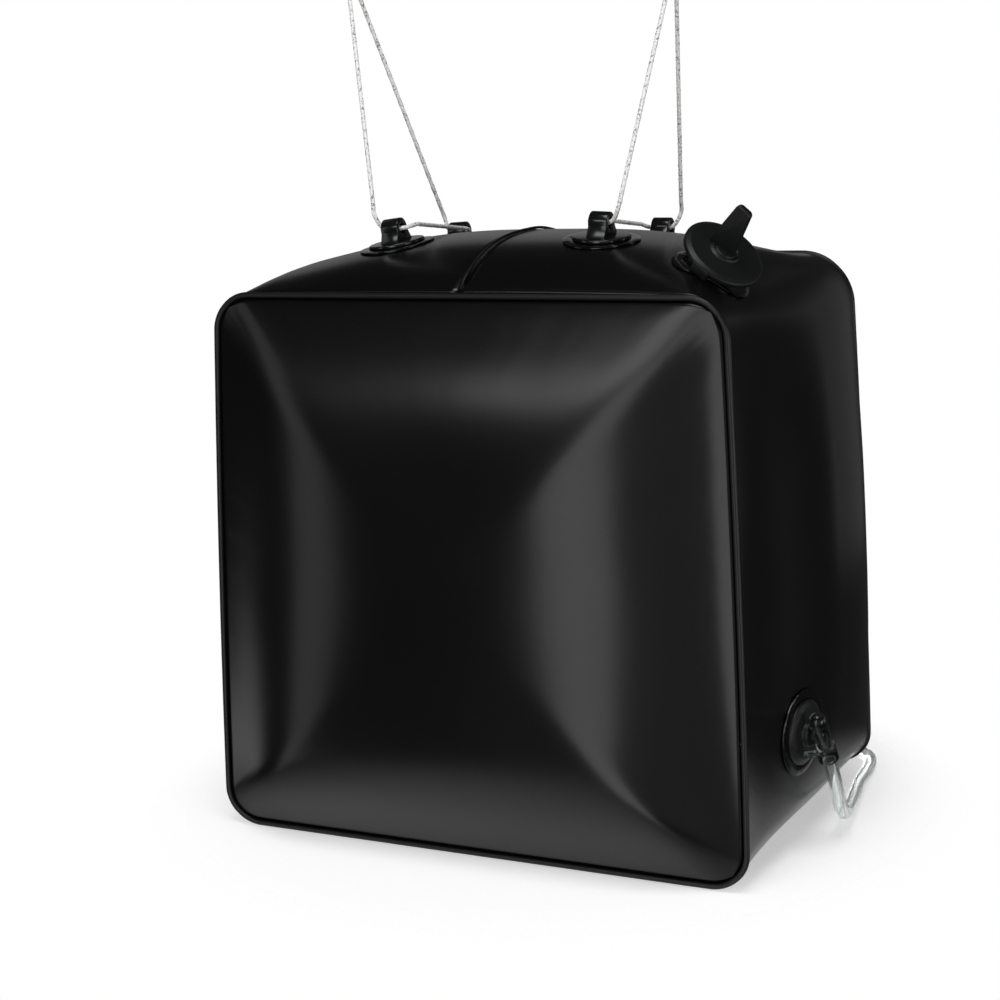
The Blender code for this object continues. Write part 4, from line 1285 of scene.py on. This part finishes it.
def spray_plate(radius, low):
    """A flat plate with rings of small jets."""
    plate = turned(softened([
        (0, ROSE_LENGTH), (radius, ROSE_LENGTH), (radius, low), (0, low),
    ], SPRAY_EDGE, steps=2), steps=80)
    parts = [(plate, Matrix.Identity(4))]
    for ring in range(JET_RINGS):
        count = max(1, 6 * ring)
        reach = ring * JET_PITCH
        for i in range(count):
            angle = 2 * math.pi * (i + 0.5 * ring) / count
            place = (reach * math.cos(angle), reach * math.sin(angle), ROSE_LENGTH)
            parts.append((turned(JET, steps=12), Matrix.Translation(place)))
    return joined(*parts)


# Ropes and hose


def rope_route(hand, outward, knot):
    """One handle's rope: from its knot through both lugs and back up."""
    lift, mouth = LUG_HEIGHT - LUG_TOP, LUG_WIDTH / 2
    front, back = lug_seat(f"front_{hand}"), lug_seat(f"back_{hand}")
    out_share, up_share = ROPE_RISE_SHARES
    way = Vector((outward * (mouth + ROPE_BEND * out_share), 0, lift + ROPE_BEND * up_share))
    knot_end = KNOT_RADIUS + GAP

    front_end = knot + (front @ way - knot).normalized() * knot_end
    back_end = knot + (back @ way - knot).normalized() * knot_end

    def taut(start, end):
        return [start.lerp(end, share) for share in ROPE_TAUT_SHARES]

    def through(lug, turn):
        near, near_turn = (ROPE_BEND * share for share in ROPE_MOUTH_SHARES)
        far, far_turn = (ROPE_BEND * share for share in ROPE_TURN_SHARES)
        return [lug @ Vector(place) for place in (
            (outward * (mouth + near), 0, lift + near_turn),
            (outward * mouth * ROPE_INSIDE_SHARE, 0, lift),
            (-outward * mouth * ROPE_INSIDE_SHARE, 0, lift),
            (-outward * (mouth + near), turn * near_turn, lift),
            (-outward * (mouth + far), turn * far_turn, lift),
        )]

    there, back_again = through(front, 1), through(back, -1)[::-1]
    return [
        front_end, *taut(front_end, front @ way), front @ way,
        *there, *taut(there[-1], back_again[0]), *back_again,
        back @ way, *taut(back @ way, back_end), back_end,
    ]


def braid(radius):
    """The surface of a braided cord, strands crossing left and right."""
    mean, strand, crossing = BRAID_SHARES

    def surface(distance, angle):
        run = 2 * math.pi * distance / BRAID_LAY / BRAID_STRANDS * 2
        left = math.cos(BRAID_STRANDS / 2 * (angle + run))
        right = math.cos(BRAID_STRANDS / 2 * (angle - run))
        return radius * (mean + strand * (left + right) / 2 + crossing * left * right)

    return surface


def add_handle(look, hand, outward, knot):
    points = smooth_route(rope_route(hand, outward, knot), ROPE_SPACING)
    cord = swept(points, braid(ROPE_RADIUS), around=20)
    rope = piece(look, f"{hand}_handle", cord, "rope", [f"{hand}_rope"], sharp=80)
    turns = []
    for i in range(KNOT_STEPS):
        t = 2 * math.pi * i / KNOT_STEPS
        turns.append(Vector((
            math.sin(t) + 2 * math.sin(2 * t),
            math.cos(t) - 2 * math.cos(2 * t),
            -KNOT_DEPTH_SHARE * math.sin(3 * t),
        )) * (KNOT_RADIUS - KNOT_CORD_RADIUS) / 3 + knot)
    tied = swept(turns, braid(KNOT_CORD_RADIUS), around=16, closed=True)
    knot_piece = piece(
        look, f"{hand}_handle_knot", tied, "rope", [f"{hand}_rope_knot"], sharp=80
    )
    route_length(points)


def coil_points():
    """The coiled hose: turns piled on one another, each climbing over the same stretch."""
    pitch = 2 * HOSE_RADIUS + COIL_GAP
    points = []
    for i in range(COIL_TURNS * COIL_POINTS + 1):
        turns = i / COIL_POINTS
        climb = smooth(turns - int(turns), CLIMB_START, CLIMB_START + CLIMB_SHARE)
        angle = -math.pi / 2 - 2 * math.pi * turns
        points.append(Vector((
            COIL_X + COIL_RADIUS * math.cos(angle),
            COIL_Y + COIL_RADIUS * math.sin(angle),
            HOSE_RADIUS + pitch * (int(turns) + climb),
        )))
    straight = Vector((2 * HOSE_RADIUS, 0, 0))
    return [points[0] + straight, *points, points[-1] - straight]


def hose_route():
    """The hose in three stretches: down and along the ground, the coil, and down to the head."""
    collar = collar_seat()
    start = collar @ Vector((0, 0, COLLAR_LENGTH + GAP))
    down = collar.col[2].xyz
    straight = Vector((-2 * HOSE_RADIUS, 0, 0))
    coil = coil_points()
    end = HEAD_PLACE + Vector((VALVE_LENGTH + GAP, 0, 0))
    lead = [start, start + down * 2 * HOSE_RADIUS, *map(Vector, HOSE_ROUTE), coil[0]]
    tail = [coil[-1], coil[-1] + straight, *map(Vector, TAIL_ROUTE), end - straight, end]
    return lead, coil, tail


def add_hose(look, head):
    lead, coil, tail = (smooth_route(part, HOSE_FINE_SPACING) for part in hose_route())
    points = even_route(lead[:-1] + coil[:-1] + tail, HOSE_SPACING)
    outer, inner = (
        swept(points, lambda distance, angle: radius, around=28, caps=False)
        for radius in (HOSE_RADIUS, HOSE_RADIUS - HOSE_WALL)
    )
    bmesh.ops.reverse_faces(inner, faces=inner.faces)
    bm = gathered(outer, inner)
    ends = [e for e in bm.edges if e.is_boundary]
    for at in (points[0], points[-1]):
        rim = [e for e in ends if (e.verts[0].co - at).length < 2 * HOSE_RADIUS]
        bmesh.ops.bridge_loops(bm, edges=rim)
    hose = piece(
        look, "hose", bm, "hose", ["shower_hose", "hose_coil", "hose_tail"], sharp=60, recalc=False
    )
    route_length(points)


def add_collar(look):
    """The collar that clips the hose to the elbow, with the ear that opens it."""
    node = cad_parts["hose_collar"]
    bm = bmesh.new()
    bm.from_mesh(node.data)
    bmesh.ops.remove_doubles(bm, verts=bm.verts, dist=COLLAR_MERGE_DISTANCE)
    bmesh.ops.dissolve_limit(
        bm, angle_limit=math.radians(1), verts=bm.verts, edges=bm.edges, delimit=set()
    )
    collar = piece(look, "collar", bm, "clear moulding", ["hose_collar"], sharp=40)
    soft = collar.modifiers.new("edges", "BEVEL")
    soft.width = COLLAR_EDGE
    soft.segments = 2
    soft.limit_method = "ANGLE"
    soft.angle_limit = math.radians(40)


# The studio


def camera_matrix(eye, yaw, pitch, roll):
    """Where the camera is and how it's turned; yaw is from +Y towards -X, pitch is downwards."""
    ahead = Vector((
        -math.sin(yaw) * math.cos(pitch), math.cos(yaw) * math.cos(pitch), -math.sin(pitch)
    ))
    level = Vector((math.cos(yaw), math.sin(yaw), 0))
    above = level.cross(ahead)
    right = level * math.cos(roll) + above * math.sin(roll)
    up = above * math.cos(roll) - level * math.sin(roll)
    return columns(right, up, -ahead, eye)


def add_camera(look):
    camera = bpy.data.cameras.new("camera")
    camera.sensor_width = 36
    camera.lens = look.lens
    camera.clip_start = 0.05
    camera.clip_end = 60
    obj = new_object("camera", camera)
    obj.matrix_world = camera_matrix(Vector(CAMERA_PLACE), CAMERA_YAW, CAMERA_PITCH, CAMERA_ROLL)
    bpy.context.scene.camera = obj


def add_softbox(name, place, target, size, power):
    light = bpy.data.lights.new(name, "AREA")
    light.shape = "RECTANGLE"
    light.size, light.size_y = size
    light.energy = power
    way = (Vector(target) - Vector(place)).normalized()
    turn = way.to_track_quat("-Z", "Y").to_matrix().to_4x4()
    new_object(name, light).matrix_world = Matrix.Translation(place) @ turn


def add_world(look):
    """A room that the camera sees white and the bag reflects dimly."""
    world = bpy.data.worlds.new("studio")
    bpy.context.scene.world = world
    world.use_nodes = True
    tree = world.node_tree
    tree.nodes.clear()
    path = tree.nodes.new("ShaderNodeLightPath")
    mix = tree.nodes.new("ShaderNodeMixShader")
    out = tree.nodes.new("ShaderNodeOutputWorld")
    tree.links.new(path.outputs["Is Camera Ray"], mix.inputs["Fac"])
    for slot, strength in ((mix.inputs[1], look.room_light), (mix.inputs[2], 1.0)):
        background = tree.nodes.new("ShaderNodeBackground")
        background.inputs["Color"].default_value = WHITE
        background.inputs["Strength"].default_value = strength
        tree.links.new(background.outputs[0], slot)
    tree.links.new(mix.outputs[0], out.inputs["Surface"])


def add_floor(look):
    """A pale disc under the bag that takes its shadow and fades out into the room."""
    bm = bmesh.new()
    bmesh.ops.create_circle(bm, cap_ends=True, segments=96, radius=FLOOR_RADIUS)
    floor = new_object("floor", as_mesh("floor", bm))
    floor.location.z = -FLOOR_DROP
    paint = Paint(
        "pale floor", look.floor_colour, 0.9, Specular_IOR_Level=0.0,
        Emission_Color=WHITE, Emission_Strength=FLOOR_GLOW,
    )
    away = paint.node("ShaderNodeVectorMath", {"operation": "LENGTH"}, {0: paint.place()}, output=1)
    paint.set("Alpha", paint.node(
        "ShaderNodeMapRange", {"interpolation_type": "SMOOTHSTEP"},
        {0: away, 1: FLOOR_FADE_START, 2: FLOOR_FADE_END, 3: 1.0, 4: 0.0},
    ))
    floor.data.materials.append(paint.material)


# Each softbox: its name, its place, what it points at, its size and its power in watts
SOFTBOXES = (
    ("top light", (0.3, -0.8, 2.3), (0, 0, 0), (1.2, 1.2), 26),
    ("upper strip", (-0.35, -2.3, 1.36), (0, 0, 0.2), (1.4, 0.4), 8.5),
    ("right strip", (0.09, -1.2, 0.0), (0, -0.2, 0.2), (0.5, 1.4), 5.2),
    ("right fill", (1.2, -1.6, 0.0), (0, 0, 0.2), (1.4, 1.4), 1.8),
    ("left strip", (-0.9, -0.85, 0.1), (0, -0.2, 0.2), (0.35, 1.6), 1.6),
    ("low left strip", (-1.62, -0.14, -0.3), (-0.1, -0.14, 0.12), (0.3, 0.3), 0.33),
    ("side light", (1.9, -0.6, 0.1), (0, 0, 0.2), (1.0, 1.2), 12),
    ("far side light", (2.0, 1.0, 0.15), (0, 0, 0.2), (0.4, 1.2), 3),
    ("back left light", (-1.1, 2.0, 0.9), (0, 0, 0.3), (1.6, 1.0), 1.3),
    ("back light", (0.6, 2.2, 0.3), (0, 0, 0.2), (0.8, 1.2), 0.3),
    ("low left light", (-1.6, 1.0, -0.7), (0, 0, 0.1), (0.8, 0.8), 6),
    ("low back light", (-0.7, 1.7, -0.5), (0, 0, 0.3), (0.8, 0.8), 16),
)


# The add-on


def colour(name, description, value):
    return FloatVectorProperty(
        name=name, description=description, default=value, subtype="COLOR", size=3, min=0, max=1
    )


def film_depth(name, description, value, most):
    return FloatProperty(
        name=name, description=description, default=value, min=0, max=most,
        precision=5, subtype="DISTANCE", unit="LENGTH",
    )


class ShowerBagLook(bpy.types.PropertyGroup):
    """What can be changed about the bag's looks and its studio."""

    film_colour: colour("Film", "Colour of the black film", (0.0022, 0.0022, 0.0024))
    welt_colour: colour("Welts", "Colour of the welts", (0.004, 0.004, 0.0045))
    moulding_colour: colour(
        "Mouldings", "Colour of the lugs, filler and outlet", (0.006, 0.0065, 0.007)
    )
    rope_colour: colour("Rope", "Colour of the rope handles", (0.95, 0.95, 0.93))
    plate_colour: colour("Spray plate", "Colour of the spray plate", (0.25, 0.25, 0.26))
    floor_colour: colour("Floor", "Colour of the studio floor", (0.86, 0.86, 0.86))
    film_roughness: FloatProperty(
        name="Film roughness", description="How blurred the film's reflections are",
        default=0.24, min=0.05, max=0.9, subtype="FACTOR",
    )
    pucker_depth: film_depth("Puckers", "Depth of the gathers beside the seams", 0.00022, 0.001)
    dent_depth: film_depth("Dents", "Depth of the film's slow unevenness", 0.0004, 0.002)
    lens: FloatProperty(
        name="Lens", description="Focal length of the camera, in millimetres",
        default=80.57, min=20, max=200,
    )
    room_light: FloatProperty(
        name="Room light", description="Brightness of the room as the bag reflects it",
        default=0.03, min=0, max=2,
    )


class SHOWERBAG_OT_stage(bpy.types.Operator):
    """Set up the camera, the softboxes, the white room and the floor"""

    bl_idname = "shower_bag.stage"
    bl_label = "Stage"

    def execute(self, context):
        look = context.scene.shower_bag
        context.scene.view_settings.view_transform = "Standard"
        add_camera(look)
        add_world(look)
        add_floor(look)
        for settings in SOFTBOXES:
            add_softbox(*settings)
        return {"FINISHED"}


class SHOWERBAG_OT_handles(bpy.types.Operator):
    """Make the two braided rope handles and their knots"""

    bl_idname = "shower_bag.handles"
    bl_label = "Rope handles"

    def execute(self, context):
        look = context.scene.shower_bag
        add_handle(look, "left", -1, LEFT_KNOT)
        add_handle(look, "right", 1, RIGHT_KNOT)
        return {"FINISHED"}


class SHOWERBAG_OT_hose(bpy.types.Operator):
    """Make the clear hose with its coil, and the shower head on its end"""

    bl_idname = "shower_bag.hose"
    bl_label = "Hose and shower head"

    def execute(self, context):
        look = context.scene.shower_bag
        add_hose(look, add_head(look))
        return {"FINISHED"}


class SHOWERBAG_OT_film(bpy.types.Operator):
    """Make the front and back panels and the gusset of black film"""

    bl_idname = "shower_bag.film"
    bl_label = "Film"

    def execute(self, context):
        look = context.scene.shower_bag
        add_film_panel(look, "front_film", -1, FRONT_CROWN, FRONT_SEED, "front_panel")
        add_film_panel(look, "back_film", 1, BACK_CROWN, BACK_SEED, "back_panel")
        add_gusset_film(look)
        return {"FINISHED"}


class SHOWERBAG_OT_seams(bpy.types.Operator):
    """Make the welts of the front and back and the seam over the top"""

    bl_idname = "shower_bag.seams"
    bl_label = "Seams"

    def execute(self, context):
        look = context.scene.shower_bag
        add_welts(look)
        add_top_seam(look)
        return {"FINISHED"}


class SHOWERBAG_OT_lugs(bpy.types.Operator):
    """Make the four rope lugs with their welded patches"""

    bl_idname = "shower_bag.lugs"
    bl_label = "Lugs"

    def execute(self, context):
        look = context.scene.shower_bag
        for name in LUGS:
            add_lug(look, name)
        return {"FINISHED"}


class SHOWERBAG_OT_filler(bpy.types.Operator):
    """Make the filler neck, its film collar, the strap and the hinged cap"""

    bl_idname = "shower_bag.filler"
    bl_label = "Filler"

    def execute(self, context):
        look = context.scene.shower_bag
        add_filler(look)
        add_cap(look)
        return {"FINISHED"}


class SHOWERBAG_OT_outlet(bpy.types.Operator):
    """Make the outlet, its elbow and collar, and finish the washer and nut inside"""

    bl_idname = "shower_bag.outlet"
    bl_label = "Outlet"

    def execute(self, context):
        look = context.scene.shower_bag
        add_outlet(look)
        add_elbow(look)
        add_collar(look)
        for node, name in (("outlet_washer", "rubber"), ("outlet_nut", "moulding")):
            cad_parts[node].material_slots[0].material = finish(look, name)
        return {"FINISHED"}


class SHOWERBAG_PT_panel(bpy.types.Panel):
    """The bag's settings and the buttons that make its pieces"""

    bl_idname = "SHOWERBAG_PT_panel"
    bl_label = "Camp Shower Bag"
    bl_space_type = "VIEW_3D"
    bl_region_type = "UI"
    bl_category = "Shower Bag"

    def draw(self, context):
        look = context.scene.shower_bag
        for name in look.bl_rna.properties.keys():
            if name not in ("rna_type", "name"):
                self.layout.prop(look, name)
        for operator in OPERATORS:
            self.layout.operator(operator.bl_idname)


OPERATORS = (
    SHOWERBAG_OT_stage,
    SHOWERBAG_OT_handles,
    SHOWERBAG_OT_hose,
    SHOWERBAG_OT_film,
    SHOWERBAG_OT_seams,
    SHOWERBAG_OT_lugs,
    SHOWERBAG_OT_filler,
    SHOWERBAG_OT_outlet,
)
CLASSES = (ShowerBagLook, *OPERATORS, SHOWERBAG_PT_panel)


def register():
    for cls in CLASSES:
        bpy.utils.register_class(cls)
    bpy.types.Scene.shower_bag = PointerProperty(type=ShowerBagLook)


def unregister():
    del bpy.types.Scene.shower_bag
    for cls in reversed(CLASSES):
        bpy.utils.unregister_class(cls)


def main():
    register()
    bpy.ops.shower_bag.stage()
    bpy.ops.shower_bag.handles()
    bpy.ops.shower_bag.hose()
    bpy.ops.shower_bag.film()
    bpy.ops.shower_bag.seams()
    bpy.ops.shower_bag.lugs()
    bpy.ops.shower_bag.filler()
    bpy.ops.shower_bag.outlet()


if __name__ == "__main__":
    main()
